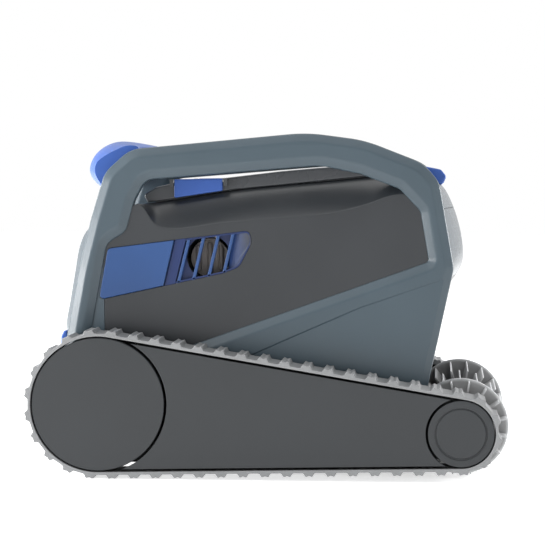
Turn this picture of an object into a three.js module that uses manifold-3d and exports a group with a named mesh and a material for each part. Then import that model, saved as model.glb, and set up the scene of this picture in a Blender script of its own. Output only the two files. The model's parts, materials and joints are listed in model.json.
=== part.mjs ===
// Robotic swimming-pool cleaner on two tracks, built from separate pieces.
// Millimetres. +X is the brush end, +Y the machine's left, +Z up.
// Everything is drawn with the belts level; the last step tips the machine onto its brush.
import * as THREE from 'three';
import { mergeVertices } from 'three/addons/utils/BufferGeometryUtils.js';
import Module from 'manifold-3d';

const wasm = await Module();
wasm.setup();

// ---------------------------------------------------------------- driving dimensions

const HALF_WIDTH = 205;
const BELT_WIDTH = 50;
const BELT_INNER_FACE = HALF_WIDTH - BELT_WIDTH;
const GAP = 0.4;

const WHEELBASE = 321.4;
const REAR_RUN_RADIUS = 60.3;
const FRONT_RUN_RADIUS = 30.5;
const BELT_ROOT = 2.6;
const LUG_HEIGHT = 3.3;
const LUG_COUNT = 48;
const FIRST_LUG = 11.6;
const LUG_BASE = 10.4;
const LUG_TIP = 5.8;
const BELT_THICKNESS = BELT_ROOT + LUG_HEIGHT;
const REAR_AXLE = { x: -150.7, z: REAR_RUN_RADIUS + BELT_THICKNESS };
const FRONT_AXLE = { x: REAR_AXLE.x + WHEELBASE, z: FRONT_RUN_RADIUS + BELT_THICKNESS };
const AXLE_RADIUS = 8;

const HALF_BODY = 148;
const WALL = 3.5;
const SHOULDER_WIDTH = 27;
const LID_HALF_WIDTH = HALF_BODY - SHOULDER_WIDTH - 1;
const FRAME_OUTER_FACE = 153;
const ARCH_INNER_FACE = 130;
const SPLIT_REAR = -150;
const SPLIT_FRONT = 148;
const SEAM_HEIGHT = 234;
const TUB_TOP = 86;

const BRUSH_RADIUS = 42;
const DISC_RADIUS = 43.5;
const DISC_PLACE = 125.3;
const VANE_COUNT = 16;
const CORE_RADIUS = 16;
const BRUSH_HALF_LENGTH = 151.7;

const JET = { x: -54.9, z: 193.5, bore: 20 };
const JET_FLAP = { face: 128, thickness: 2, radius: 17.2, leafHeight: 26.4, leafWidth: 10.4, leafDepth: 3.5 };
const LID_HINGE = { x: 104, z: 270, radius: 5.2, pin: 2, bore: 2.4 };
const LATCH_PIN = { y: 123.75, z: 262, radius: 1.15, bore: 1.5 };
const LATCH_SPAN = [-87, -42.5];
const GLAND_PLACE = { x: 121, y: 60, hole: 7.2, cable: 3.6 };
const SCREW_PLACES = [[-52, -98], [-52, 98], [92, -98], [92, 98]];
const SCREW_HOLE = 2.3;
const PORT = { low: [14, -86], high: [66, -18] };
const BASKET = { low: [-8, -108, 62], high: [88, 108, 238], wall: 3, border: 14, corner: 12 };

const WHEEL_FACE = 203.8;
const WHEEL_INNER_END = 160;
const HUB_INNER_END = 162;
const REAR_WHEEL_RADIUS = 59.2;
const FRONT_WHEEL_RADIUS = 29.4;
const FRONT_AXLE_RADIUS = 7;
const AXLE_CLEARANCE = 0.4;
const COVER_FACE = 204;
const COVER_BACK = 200.5;

// ---------------------------------------------------------------- finishes

const FINISHES = {
  teal: { color: 0x5d6971, roughness: 0.42, metalness: 0 },
  charcoal: { color: 0x45494c, roughness: 0.5, metalness: 0 },
  slate: { color: 0x4d5157, roughness: 0.45, metalness: 0 },
  blue: { color: 0x2b5cab, roughness: 0.3, metalness: 0 },
  black: { color: 0x1f2224, roughness: 0.6, metalness: 0 },
  rubber: { color: 0x7f8689, roughness: 0.85, metalness: 0 },
  bristle: { color: 0x6a7074, roughness: 0.8, metalness: 0 },
  white: { color: 0xd8dcdd, roughness: 0.5, metalness: 0 },
  steel: { color: 0xb8bcc0, roughness: 0.3, metalness: 1 },
};

// ---------------------------------------------------------------- shape helpers

const mix = (from, to, share) => from + (to - from) * share;
const clamp = (value, low, high) => Math.min(high, Math.max(low, value));

/** Six times the volume a triangle list encloses; negative when it faces inwards. */
function signedVolume(positions, index) {
  const corner = (k) => new THREE.Vector3().fromBufferAttribute(positions, index.getX(k));
  let volume = 0;
  for (let k = 0; k < index.count; k += 3) {
    volume += corner(k).dot(corner(k + 1).cross(corner(k + 2)));
  }
  return volume;
}

/** Turn a three.js geometry into a solid that can be joined and cut. */
function solid(shape) {
  if (!(shape instanceof THREE.BufferGeometry)) {
    return shape;
  }
  const bare = shape.clone();
  bare.deleteAttribute('normal');
  bare.deleteAttribute('uv');
  const merged = mergeVertices(bare, 1e-4);
  const triangles = Uint32Array.from(merged.index.array);
  if (signedVolume(merged.attributes.position, merged.index) < 0) {
    for (let k = 0; k < triangles.length; k += 3) {
      [triangles[k + 1], triangles[k + 2]] = [triangles[k + 2], triangles[k + 1]];
    }
  }
  const vertices = Float32Array.from(merged.attributes.position.array);
  return new wasm.Manifold(new wasm.Mesh({ numProp: 3, vertProperties: vertices, triVerts: triangles }));
}

const join = (first, ...others) => others.reduce((sum, next) => sum.add(solid(next)), solid(first));
const cut = (first, ...tools) => tools.reduce((rest, tool) => rest.subtract(solid(tool)), solid(first));
const common = (first, second) => solid(first).intersect(solid(second));

/** The same piece on the other side of the machine. */
const mirrored = (piece) => solid(piece).mirror([0, 1, 0]);

/** Closed outline from corners [x, z, radius], with each corner rounded. */
function rounded(corners, steps = 4) {
  const outline = [];
  corners.forEach(([x, z, radius = 0], i) => {
    const here = new THREE.Vector2(x, z);
    const before = new THREE.Vector2(...corners.at(i - 1)).sub(here);
    const after = new THREE.Vector2(...corners[(i + 1) % corners.length]).sub(here);
    const angle = Math.abs(before.angleTo(after));
    const reach = Math.min(radius / Math.tan(angle / 2), before.length() * 0.48, after.length() * 0.48);
    if (reach < 0.05) {
      outline.push([x, z]);
      return;
    }
    const start = here.clone().addScaledVector(before.normalize(), reach);
    const end = here.clone().addScaledVector(after.normalize(), reach);
    const bend = new THREE.QuadraticBezierCurve(start, here, end);
    bend.getPoints(steps).forEach((point) => outline.push([point.x, point.y]));
  });
  return outline;
}

/** Move every point of a closed outline sideways; positive makes it larger. */
function grown(outline, distance) {
  const turn = Math.sign(THREE.ShapeUtils.area(outline.map(([x, z]) => new THREE.Vector2(x, z))));
  return outline.map(([x, z], i) => {
    const [xBefore, zBefore] = outline.at(i - 1);
    const [xAfter, zAfter] = outline[(i + 1) % outline.length];
    const into = new THREE.Vector2(x - xBefore, z - zBefore).normalize();
    const out = new THREE.Vector2(xAfter - x, zAfter - z).normalize();
    const normal = new THREE.Vector2(into.y + out.y, -into.x - out.x).normalize();
    const spread = Math.max(0.4, Math.sqrt((1 + into.dot(out)) / 2));
    return [x + (normal.x * distance * turn) / spread, z + (normal.y * distance * turn) / spread];
  });
}

/** Plate with an X-Z outline between two Y values; bevel = { size, depth } chamfers both faces. */
function plate(outline, yLow, yHigh, holes = [], bevel = null) {
  const toVectors = (points) => points.map(([x, z]) => new THREE.Vector2(x, z));
  const shape = new THREE.Shape(toVectors(outline));
  shape.holes = holes.map((hole) => new THREE.Path(toVectors(hole)));
  const chamfer = bevel ? bevel.depth : 0;
  const geometry = new THREE.ExtrudeGeometry(shape, {
    depth: yHigh - yLow - 2 * chamfer,
    bevelEnabled: Boolean(bevel),
    bevelSize: bevel ? bevel.size : 0,
    bevelOffset: bevel ? -bevel.size : 0,
    bevelThickness: chamfer,
    bevelSegments: 1,
  });
  geometry.rotateX(Math.PI / 2);
  geometry.translate(0, yHigh - chamfer, 0);
  return geometry;
}

/** Box between two corners. */
function box([x0, y0, z0], [x1, y1, z1]) {
  const geometry = new THREE.BoxGeometry(x1 - x0, y1 - y0, z1 - z0);
  geometry.translate((x0 + x1) / 2, (y0 + y1) / 2, (z0 + z1) / 2);
  return geometry;
}

/** Ring or disc turned about a line along Y through (x, z); the profile is [radius, y]. */
function turnedAcross(profile, { x, z }, segments = 32) {
  const closed = [...profile, profile[0]].map(([radius, y]) => new THREE.Vector2(radius, y));
  const geometry = new THREE.LatheGeometry(closed, segments);
  geometry.translate(x, 0, z);
  return geometry;
}

/** Cylinder along Y between two Y values. */
function rodAcross(radius, yLow, yHigh, { x, z }, segments = 20) {
  const geometry = new THREE.CylinderGeometry(radius, radius, yHigh - yLow, segments);
  geometry.translate(x, (yLow + yHigh) / 2, z);
  return geometry;
}

/** Cylinder along X between two X values. */
function rodAlong(radius, xLow, xHigh, y, z, segments = 12) {
  const geometry = new THREE.CylinderGeometry(radius, radius, xHigh - xLow, segments);
  geometry.rotateZ(Math.PI / 2);
  geometry.translate((xLow + xHigh) / 2, y, z);
  return geometry;
}

/** Upright cylinder between two heights. */
function post(radius, zLow, zHigh, x, y, segments = 20) {
  const geometry = new THREE.CylinderGeometry(radius, radius, zHigh - zLow, segments);
  geometry.rotateX(Math.PI / 2);
  geometry.translate(x, y, (zLow + zHigh) / 2);
  return geometry;
}

/** Solid skinned over closed X-Z rings with equal point counts, given as { y, ring }, alike on both sides. */
function loft(sections) {
  const count = sections[0].ring.length;
  const vertices = sections.flatMap(({ y, ring }) => ring.flatMap(([x, z]) => [x, y, z]));
  const faces = [];
  for (let s = 0; s < sections.length - 1; s += 1) {
    for (let i = 0; i < count; i += 1) {
      const next = (i + 1) % count;
      const low = s * count;
      const high = low + count;
      if (sections[s].y + sections[s + 1].y < 0) {
        faces.push(low + i, low + next, high + next, low + i, high + next, high + i);
      } else {
        faces.push(low + i, low + next, high + i, low + next, high + next, high + i);
      }
    }
  }
  const cap = (ring, start, flip) => {
    const points = ring.map(([x, z]) => new THREE.Vector2(x, z));
    THREE.ShapeUtils.triangulateShape(points, []).forEach(([a, b, c]) => {
      faces.push(start + a, start + (flip ? c : b), start + (flip ? b : c));
    });
  };
  const forward = THREE.ShapeUtils.area(sections[0].ring.map(([x, z]) => new THREE.Vector2(x, z))) > 0;
  cap(sections[0].ring, 0, forward);
  cap(sections.at(-1).ring, (sections.length - 1) * count, !forward);
  const geometry = new THREE.BufferGeometry();
  geometry.setAttribute('position', new THREE.Float32BufferAttribute(vertices, 3));
  geometry.setIndex(faces);
  return geometry;
}

// ---------------------------------------------------------------- body shape

/**
 * Stations round the body's side profile, clockwise from the rear bottom.
 * edge: place on the side walls; middle: place on the centre line, where both ends bow out.
 * Stations marked top rise over the narrow sloping shoulder instead of along the bow.
 */
const BODY_STATIONS = [
  { edge: [-170, TUB_TOP], middle: [-191, TUB_TOP] },
  { edge: [-179, 108], middle: [-198, 106] },
  { edge: [-178, 124], middle: [-198, 124] },
  { edge: [-177.5, 127], middle: [-201, 127] },
  { edge: [-173.5, 153], middle: [-196.4, 155] },
  { edge: [-168.5, 179], middle: [-191.8, 180] },
  { edge: [-164, 203], middle: [-186.5, 205] },
  { edge: [-159, 213], middle: [-179.5, 218.5] },
  { edge: [-148, 215.5], middle: [-162, 229], top: true },
  { edge: [-118, 243], middle: [-116, 242], top: true },
  { edge: [-99, 221.8], middle: [-99, 244.3], top: true },
  { edge: [-38, 224.8], middle: [-32, 253.5], top: true },
  { edge: [18, 228.5], middle: [28, 258.5], top: true },
  { edge: [56, 231.5], middle: [60, 261.2], top: true },
  { edge: [85, 238], middle: [88, 263.5], top: true },
  { edge: [116, 247.5], middle: [112, 265], top: true },
  { edge: [142, 246], middle: [142, 261], top: true },
  { edge: [148, 243], middle: [156, 255] },
  { edge: [152.5, SEAM_HEIGHT], middle: [167.3, SEAM_HEIGHT] },
  { edge: [157.5, 203], middle: [175, 203] },
  { edge: [159.5, 184], middle: [175.4, 184] },
  { edge: [160, 176], middle: [172, 174.5] },
  { edge: [157, 160], middle: [162, 160] },
  { edge: [150, 114], middle: [152.5, 114] },
  { edge: [143, TUB_TOP], middle: [144.5, TUB_TOP] },
];
const BODY_CUTS = [-1, -0.82, -0.6, -0.35, 0, 0.35, 0.6, 0.82, 1];

/** The body's profile at one Y, made larger or smaller all round by `growth`. */
function bodyRing(y, growth = 0) {
  const bow = 1 - (y / HALF_BODY) ** 2;
  const rise = clamp((HALF_BODY - Math.abs(y)) / SHOULDER_WIDTH, 0, 1);
  const ring = BODY_STATIONS.map(({ edge, middle, top = false }) => [
    mix(edge[0], middle[0], bow),
    mix(edge[1], middle[1], top ? rise : bow),
  ]);
  return growth ? grown(ring, growth) : ring;
}

/** Solid with the body's outer form, larger or smaller all round by `growth`. */
function bodySolid(growth = 0) {
  const cuts = BODY_CUTS.map((share) => share * HALF_BODY);
  return loft(cuts.map((y) => ({
    y: y + Math.sign(y) * (Math.abs(y) === HALF_BODY ? growth : 0),
    ring: bodyRing(y, growth),
  })));
}

// Side window that takes the blue jet panel, and the pocket in front of the jet.
const PANEL_CORNERS = [[-155.4, 156, 5], [-146.2, 203.2, 5], [-74.6, 211.1], [-85.4, 170]];
const WINDOW_CORNERS = [
  [-155.4, 156, 5], [-146.2, 203.2, 5], [-17, 217.4, 7], [-15, 206, 9], [-27, 184, 12], [-42, 178.6, 4],
];
const POCKET_CORNERS = [
  [-95.6, 168], [-85, 209.9, 2], [-17, 217.4, 7], [-15, 206, 9], [-27, 184, 12], [-42, 178.6, 4],
];

/** Hollow body: the outer form less its inside, open below. */
function bodyShell() {
  const bottomOpening = box([-166, -HALF_BODY + WALL, TUB_TOP - 5], [139, HALF_BODY - WALL, TUB_TOP + 12]);
  return cut(bodySolid(), bodySolid(-WALL), bottomOpening);
}

// ---------------------------------------------------------------- collecting the pieces

const machine = new THREE.Group();
machine.name = 'level_machine';

/** Add one named piece to the machine. */
function addPiece(name, shape, finish) {
  const { vertProperties, triVerts } = solid(shape).getMesh();
  const geometry = new THREE.BufferGeometry();
  geometry.setAttribute('position', new THREE.BufferAttribute(Float32Array.from(vertProperties), 3));
  geometry.setIndex(Array.from(triVerts));
  const flat = geometry.toNonIndexed();
  flat.computeVertexNormals();
  const material = new THREE.MeshStandardMaterial(FINISHES[finish]);
  material.name = finish;
  const mesh = new THREE.Mesh(flat, material);
  mesh.name = name;
  machine.add(mesh);
}

/** Add a right-hand piece and its mirror image on the left. */
function addPair(name, shape, finish) {
  const right = solid(shape);
  addPiece(`${name}_right`, right, finish);
  addPiece(`${name}_left`, mirrored(right), finish);
}

// ---------------------------------------------------------------- body

const sideWindow = () => plate(rounded(WINDOW_CORNERS), -HALF_BODY - 5, -HALF_BODY + WALL + 5);

/** Main upper shell with the lid opening, hinge lugs, side windows and cable hole. */
function buildUpperShell() {
  const windowCut = sideWindow();
  const lidOpening = box([-107, -116, 230], [92, 116, 280]);
  const rearPart = box([-260, -200, 0], [SPLIT_REAR + GAP / 2, 200, 300]);
  const frontPart = box([SPLIT_FRONT - GAP / 2, -200, 171.8], [260, 200, 300]);
  const lugProfile = rounded([[97, 262], [97, 275.4, 5], [111, 275.4, 5], [111, 262]]);
  const lug = plate(lugProfile, -110, -101);
  const hingeBore = rodAcross(LID_HINGE.bore, -140, 140, LID_HINGE, 12);
  const shell = cut(
    bodyShell(), windowCut, mirrored(windowCut), lidOpening, rearPart, frontPart,
    post(GLAND_PLACE.hole, 250, 280, GLAND_PLACE.x, GLAND_PLACE.y),
  );
  return cut(join(shell, lug, mirrored(lug)), hingeBore);
}

/** Upright shaft of the right-hand suction port. */
const suctionPort = () => box([...PORT.low, 0], [...PORT.high, 70]);

/** Lower tub: floor with two suction ports and their ducts, axle holes and track bosses. */
function buildTub() {
  const outline = rounded([
    [-168, TUB_TOP - GAP], [-172, 60, 8], [-158, 26, 14], [-140, 24, 6], [102, 24, 12], [117, 44, 10],
    [117, TUB_TOP - GAP],
  ]);
  const inside = rounded([
    [-164.4, TUB_TOP + 5], [-168.3, 60, 8], [-156, 30, 12], [-140, 27.5, 6], [100, 27.5, 10],
    [113.5, 45, 10], [113.5, TUB_TOP + 5],
  ]);
  const tub = cut(
    plate(outline, -HALF_BODY, HALF_BODY),
    plate(inside, -HALF_BODY + WALL, HALF_BODY - WALL),
  );
  const [portX0, portY0] = PORT.low;
  const [portX1, portY1] = PORT.high;
  const duct = box([portX0 - 3, portY0 - 3, 25], [portX1 + 3, portY1 + 3, BASKET.low[2] - 0.6]);
  const port = suctionPort();
  const bosses = [-75, 85].map((x) => rodAcross(9, -BELT_INNER_FACE - 0.2, -HALF_BODY + 1, { x, z: 48 }));
  const axleHole = rodAcross(AXLE_RADIUS + 1, -160, 160, REAR_AXLE);
  const screwHoles = SCREW_PLACES.map(([x, y]) => post(SCREW_HOLE, 10, 40, x, y, 12));
  const halves = join(tub, duct, mirrored(duct), ...bosses, ...bosses.map(mirrored));
  return cut(halves, port, mirrored(port), axleHole, ...screwHoles);
}

/** Suction plate under the tub, with flared mouths round the two ports. */
function buildSuctionPlate() {
  const outline = rounded([[-62, 23.6], [-54, 19.6], [98, 19.6], [106, 23.6]]);
  const port = suctionPort();
  const screwHoles = SCREW_PLACES.map(([x, y]) => post(SCREW_HOLE, 10, 40, x, y, 12));
  return cut(plate(outline, -112, 112), port, mirrored(port), ...screwHoles);
}

/** Pan-head screw from below. */
function buildScrew([x, y]) {
  return join(post(4.2, 17, 19.2, x, y, 14), post(1.9, 18, 33, x, y, 10));
}

function buildBody() {
  addPiece('hull_tub', buildTub(), 'black');
  addPiece('hull_shell', buildUpperShell(), 'charcoal');
  const rearHalf = box([-260, -200, 0], [SPLIT_REAR - GAP / 2, 200, 300]);
  const shell = bodyShell();
  const rearShell = cut(common(shell, rearHalf), sideWindow(), mirrored(sideWindow()));
  addPiece('rear_fascia', rearShell, 'teal');
  addPiece(
    'front_fascia',
    common(shell, box([SPLIT_FRONT + GAP / 2, -200, SEAM_HEIGHT + GAP / 2], [260, 200, 300])),
    'teal',
  );
  addPiece(
    'front_visor',
    common(shell, box([SPLIT_FRONT + GAP / 2, -200, 172], [260, 200, SEAM_HEIGHT - GAP / 2])),
    'teal',
  );
  addPiece('suction_plate', buildSuctionPlate(), 'charcoal');
  SCREW_PLACES.forEach((place, i) => addPiece(`floor_screw_${i + 1}`, buildScrew(place), 'steel'));

  const rearTrim = rounded([[-205.4, 107.5, 2], [-204.8, 118, 3], [-201.8, 123, 2], [-198.6, 123], [-198.6, 107.5]]);
  addPiece('rear_trim', plate(rearTrim, -46, 46), 'blue');
  const frontTrim = rounded([
    [133, 262.3], [134, 268, 3], [142, 272.5, 5], [156, 269.5, 5], [161, 263, 4], [158.5, 257.5, 2],
    [156.3, 255.6], [142, 261.6],
  ]);
  addPiece('front_trim', plate(frontTrim, -118, 118), 'blue');
  const { x, y } = GLAND_PLACE;
  const gland = join(post(6.8, 258, 268, x, y), post(9.6, 265.8, 268.4, x, y), post(8, 268.3, 275, x, y, 6));
  addPiece('cable_gland', cut(gland, post(GLAND_PLACE.cable, 264, 280, x, y, 14)), 'black');
}

// ---------------------------------------------------------------- arches and grip

const FRAME_CORNERS = [
  [-172, 66, 12], [-187.5, 110, 30], [-172.5, 186, 80], [-160.5, 231, 60], [-147.5, 272, 30],
  [-124, 292.2, 30], [36, 304.6, 150], [88, 296.8, 120], [140, 275.5, 40], [154.5, 258, 24],
  [166.6, 181, 22], [139.5, 66, 12],
];
const ARCH_WINDOW_CORNERS = [
  [143.9, 186.8, 4], [137, 232, 9], [118.5, 252.6, 14], [84, 266.4, 30], [48, 274.7, 60], [-111, 264.4, 15],
  [-121, 246, 20], [-129, 218, 13], [-146.8, 207, 14], [-167, 103, 12], [-112, 100.5, 14],
];

// Height of the lower panel's plain bottom edge, behind the belt.
const PANEL_FOOT = 77;

/** Side frame: arch, both legs and the lower panel, with a broad chamfer on every edge but the bottom. */
function buildSideFrame() {
  const outline = rounded(FRAME_CORNERS, 5);
  const opening = rounded(ARCH_WINDOW_CORNERS, 4);
  const chamfered = plate(outline, -FRAME_OUTER_FACE, -ARCH_INNER_FACE, [opening], { size: 8, depth: 4 });
  const skin = common(chamfered, box([-220, -160, PANEL_FOOT], [220, -HALF_BODY - GAP, 320]));
  const arch = common(chamfered, box([-220, -160, 222], [220, -100, 320]));
  return cut(join(skin, arch), bodySolid(GAP));
}

// Grip profile, point for point: on the centre line, and where it meets the arches.
const GRIP_STATIONS = [
  { middle: [-164.5, 262], end: [-150, 257] },
  { middle: [-172, 268.5], end: [-155, 263.5] },
  { middle: [-173.3, 277], end: [-158.5, 271] },
  { middle: [-168.5, 288], end: [-157.5, 280] },
  { middle: [-159.5, 296.5], end: [-150, 286.5] },
  { middle: [-147.5, 300.8], end: [-140.5, 291.5] },
  { middle: [-134, 299.5], end: [-128.5, 295.8] },
  { middle: [-124, 295.8], end: [-119, 294.3] },
  { middle: [-126.5, 289.5], end: [-117.5, 286.5] },
  { middle: [-137, 289], end: [-127.5, 283.5] },
  { middle: [-147.5, 285], end: [-137, 276.5] },
  { middle: [-155.5, 278], end: [-143, 269] },
  { middle: [-159.5, 270.5], end: [-145.5, 262.5] },
  { middle: [-159.3, 263.5], end: [-146.5, 257.5] },
];

/** Carrying grip between the arches, bulging outwards at its middle. */
function buildGrip() {
  const reach = ARCH_INNER_FACE - GAP;
  const places = [-1, -0.9, -0.72, -0.45, 0, 0.45, 0.72, 0.9, 1];
  return loft(places.map((share) => {
    const bulge = 1 - Math.abs(share) ** 3;
    const ring = GRIP_STATIONS.map(({ middle, end }) => [
      mix(end[0], middle[0], bulge),
      mix(end[1], middle[1], bulge),
    ]);
    return { y: share * reach, ring };
  }));
}

// ---------------------------------------------------------------- lid and latches

const LID_PROFILE = [
  [-112, 243.6], [-116, 251], [-104, 257.5], [-90, 260.6], [-42, 264.8], [10, 270.2], [50, 273.2], [85, 273.4],
  [101, 272.5], [101, 268], [94, 264.6], [88, 264.2], [60, 261.8], [28, 259], [-32, 254.1], [-99, 244.9],
];

/** Hollow lid with a skirt that drops into the opening and a hinge barrel at its front edge. */
function buildLid() {
  const shellThickness = 3;
  const inside = LID_PROFILE.slice(2, 15).map(([x, z]) => [x * 0.965 - 1, z - shellThickness]);
  const hollow = plate(
    [...inside, [-101, 236]], -LID_HALF_WIDTH + shellThickness, LID_HALF_WIDTH - shellThickness,
  );
  const skirtOuter = [[-105, 250], [-105, 240.5], [-32, 247], [88, 256], [88, 268], [10, 266], [-40, 260]];
  const skirt = cut(
    plate(skirtOuter, -115.4, 115.4),
    plate(grown(skirtOuter, 20).map(([x, z]) => [clamp(x, -102.6, 85.6), z]), -113, 113),
  );
  const barrel = rodAcross(LID_HINGE.radius, -100.5, 100.5, LID_HINGE, 16);
  const cap = plate(LID_PROFILE, -LID_HALF_WIDTH, LID_HALF_WIDTH);
  const lugSpace = box([96.4, -125, 255], [120, -100.5, 285]);
  const shell = cut(cap, hollow, lugSpace, mirrored(lugSpace));
  const ears = [LATCH_SPAN[0] - 4, LATCH_SPAN[1] + 0.6].map((x) => (
    box([x, -126, LATCH_PIN.z - 4], [x + 3.4, -LID_HALF_WIDTH + 1, LATCH_PIN.z + 2.4])
  ));
  const pinBore = latchRod(LATCH_PIN.bore, 10);
  return cut(
    join(shell, skirt, barrel, ...ears, ...ears.map(mirrored)),
    rodAcross(LID_HINGE.bore, -140, 140, LID_HINGE, 12), pinBore, mirrored(pinBore),
  );
}

/** Rod on the right-hand latch's pivot line, `overhang` longer than the latch at each end. */
function latchRod(radius, overhang) {
  return rodAlong(radius, LATCH_SPAN[0] - overhang, LATCH_SPAN[1] + overhang, -LATCH_PIN.y, LATCH_PIN.z);
}

function buildLidGroup() {
  addPiece('lid', buildLid(), 'slate');
  addPiece('lid_hinge_pin', rodAcross(LID_HINGE.pin, -111, 111, LID_HINGE, 12), 'steel');
  const latchOutline = rounded([
    [LATCH_SPAN[0], 247.4, 1.5], [LATCH_SPAN[1], 253.4, 1.5], [LATCH_SPAN[1], 264.5, 1.5],
    [LATCH_SPAN[0], 264.5, 1.5],
  ], 2);
  const latch = cut(plate(latchOutline, -126, -121.5), latchRod(LATCH_PIN.bore, 12));
  addPair('lid_latch', latch, 'blue');
  addPair('latch_pin', latchRod(LATCH_PIN.radius, 4), 'steel');
}

// ---------------------------------------------------------------- side jets

/** Blue jet panel: a flush plate with a grille of four slanted bars over the pocket. */
function buildJetPanel() {
  const face = plate(grown(rounded(PANEL_CORNERS), -GAP), -HALF_BODY - 1.6, -HALF_BODY + 4);
  const pocket = rounded(POCKET_CORNERS, 3);
  const backing = cut(
    plate(grown(pocket, 3), -HALF_BODY + 4, -HALF_BODY + 7),
    plate(grown(pocket, -1.5), -HALF_BODY, -HALF_BODY + 10),
  );
  const bars = [0, 1, 2, 3].map((i) => {
    const top = -73 + 14 * i;
    const bottom = -85.4 + 14.6 * i;
    const low = 165 + 3.4 * i;
    const high = 213 + 1.6 * i;
    return plate([[bottom, low], [top, high], [top + 3, high], [bottom + 3, low]], -147.2, -HALF_BODY + 7);
  });
  const reach = plate(grown(pocket, -GAP), -150, -140);
  return join(face, backing, ...bars.map((bar) => common(bar, reach)));
}

// Pump chamber's radius, and how far from the centre line each jet duct starts.
const CHAMBER = { radius: 44, hollow: 40.5, low: 136, high: 214, roof: 3 };
const DUCT = { start: 45, wall: 3 };

/** Pump housing: round chamber, open below, with a collar round the way into each duct. */
function buildPumpHousing() {
  const { radius, hollow, low, high, roof } = CHAMBER;
  const collar = rodAcross(JET.bore + DUCT.wall, -DUCT.start + GAP, DUCT.start - GAP, JET, 28);
  return cut(
    join(post(radius, low, high, JET.x, 0, 32), collar),
    post(hollow, low - 6, high - roof, JET.x, 0, 32), rodAcross(JET.bore, -150, 150, JET, 28),
  );
}

/** Duct from the pump to one jet, with the plate behind the pocket. */
function buildJetDuct() {
  const duct = rodAcross(JET.bore + DUCT.wall, -138, -DUCT.start, JET, 28);
  const face = plate(grown(rounded(POCKET_CORNERS, 3), 2.5), -140.4, -137.6);
  return cut(join(duct, face), rodAcross(JET.bore, -150, 0, JET, 28));
}

/** Non-return flap with two upright leaves, hung from a pin line at the top of the duct mouth. */
function buildJetFlap() {
  const { face, thickness, radius, leafHeight, leafWidth, leafDepth } = JET_FLAP;
  const centre = { x: JET.x, z: JET.z - 1.2 };
  const disc = rodAcross(radius, -face, -face + thickness, centre, 24);
  const barrel = rodAlong(1.6, JET.x - 7, JET.x + 7, -face + thickness / 2, JET.z + 15.6, 10);
  const leaves = [-7.2, 6.8].map((offset) => box(
    [JET.x + offset - leafWidth / 2, -face - leafDepth, centre.z - leafHeight / 2],
    [JET.x + offset + leafWidth / 2, -face + thickness / 2, centre.z + leafHeight / 2],
  ));
  return join(disc, barrel, ...leaves);
}

/** Pump impeller: plate, hub, shaft and five curved blades, turning about a vertical line. */
function buildImpeller() {
  const x = JET.x;
  const blade = (turn) => {
    const points = [[8, 0], [20, 4], [34, 14], [33, 16.5], [19, 6.5], [7, 2.5]];
    const shape = new THREE.Shape(points.map(([a, b]) => new THREE.Vector2(a, b)));
    const geometry = new THREE.ExtrudeGeometry(shape, { depth: 13, bevelEnabled: false });
    geometry.rotateZ(turn);
    geometry.translate(x, 0, 142);
    return geometry;
  };
  const blades = [0, 1, 2, 3, 4].map((i) => blade((i * 2 * Math.PI) / 5));
  return join(post(36, 140, 142.6, x, 0, 28), post(9, 141, 158, x, 0, 16), post(3, 129, 141, x, 0, 12), ...blades);
}

/** Sealed motor box on the floor, with blind sockets for the pump shaft and both drive axles. */
function buildMotorUnit() {
  const outline = rounded([
    [-160, 50, 5], [-160, 86, 6], [-130, 92, 4], [-128, 132, 8], [-26, 132, 8], [-26, 29, 8], [-146, 29, 8],
  ], 3);
  const socket = rodAcross(AXLE_RADIUS + 0.8, -80, -60, REAR_AXLE);
  return cut(
    plate(outline, -72, 72, [], { size: 3, depth: 3 }),
    socket, mirrored(socket), post(3.5, 127, 140, JET.x, 0, 14),
  );
}

function buildWaterPath() {
  addPair('jet_panel', buildJetPanel(), 'blue');
  addPair('jet_flap', buildJetFlap(), 'slate');
  addPiece('pump_housing', buildPumpHousing(), 'black');
  addPair('jet_duct', buildJetDuct(), 'black');
  addPiece('impeller', buildImpeller(), 'white');
  addPiece('motor_unit', buildMotorUnit(), 'black');
}

// ---------------------------------------------------------------- filter basket

/** Lift-out basket frame: open top, four windows and two ports in its floor. */
function buildBasket() {
  const [x0, y0, z0] = BASKET.low;
  const [x1, y1, z1] = BASKET.high;
  const { wall, border, corner } = BASKET;
  const side = box([x0 + corner - 2, y0 - 5, z0 + border], [x1 - corner + 2, y1 + 5, z1 - border]);
  const end = box([x0 - 5, y0 + corner, z0 + border], [x1 + 5, y1 - corner, z1 - border]);
  const port = suctionPort();
  return cut(
    box(BASKET.low, BASKET.high),
    box([x0 + wall, y0 + wall, z0 + wall], [x1 - wall, y1 - wall, z1 + 5]),
    side, end, port, mirrored(port),
  );
}

/** Inlet flap that lies over one port, with its hinge barrel. */
function buildInletFlap() {
  const [x0, y0] = PORT.low;
  const [x1, y1] = PORT.high;
  const seat = BASKET.low[2] + BASKET.wall + 0.6;
  const lifted = seat + 1.8;
  return join(
    box([x0 - 2, y0 - 2, seat], [x1 + 2, y1 + 2, lifted]),
    rodAlong(2, x0 - 2, x1 + 2, y1 + 3, lifted),
  );
}

function buildFilter() {
  const [x0, y0, z0] = BASKET.low;
  const [x1, y1, z1] = BASKET.high;
  const border = BASKET.border + GAP;
  const corner = BASKET.corner + GAP;
  const [near, far] = [0.6, 2.2];
  addPiece('filter_basket', buildBasket(), 'white');
  const sideScreen = box([x0 + corner - 2, y0 + near, z0 + border], [x1 - corner + 2, y0 + far, z1 - border]);
  addPair('filter_screen', sideScreen, 'black');
  const rearScreen = box([x0 + near, y0 + corner, z0 + border], [x0 + far, y1 - corner, z1 - border]);
  addPiece('filter_screen_rear', rearScreen, 'black');
  const frontScreen = box([x1 - far, y0 + corner, z0 + border], [x1 - near, y1 - corner, z1 - border]);
  addPiece('filter_screen_front', frontScreen, 'black');
  addPair('inlet_flap', buildInletFlap(), 'black');
}

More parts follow.
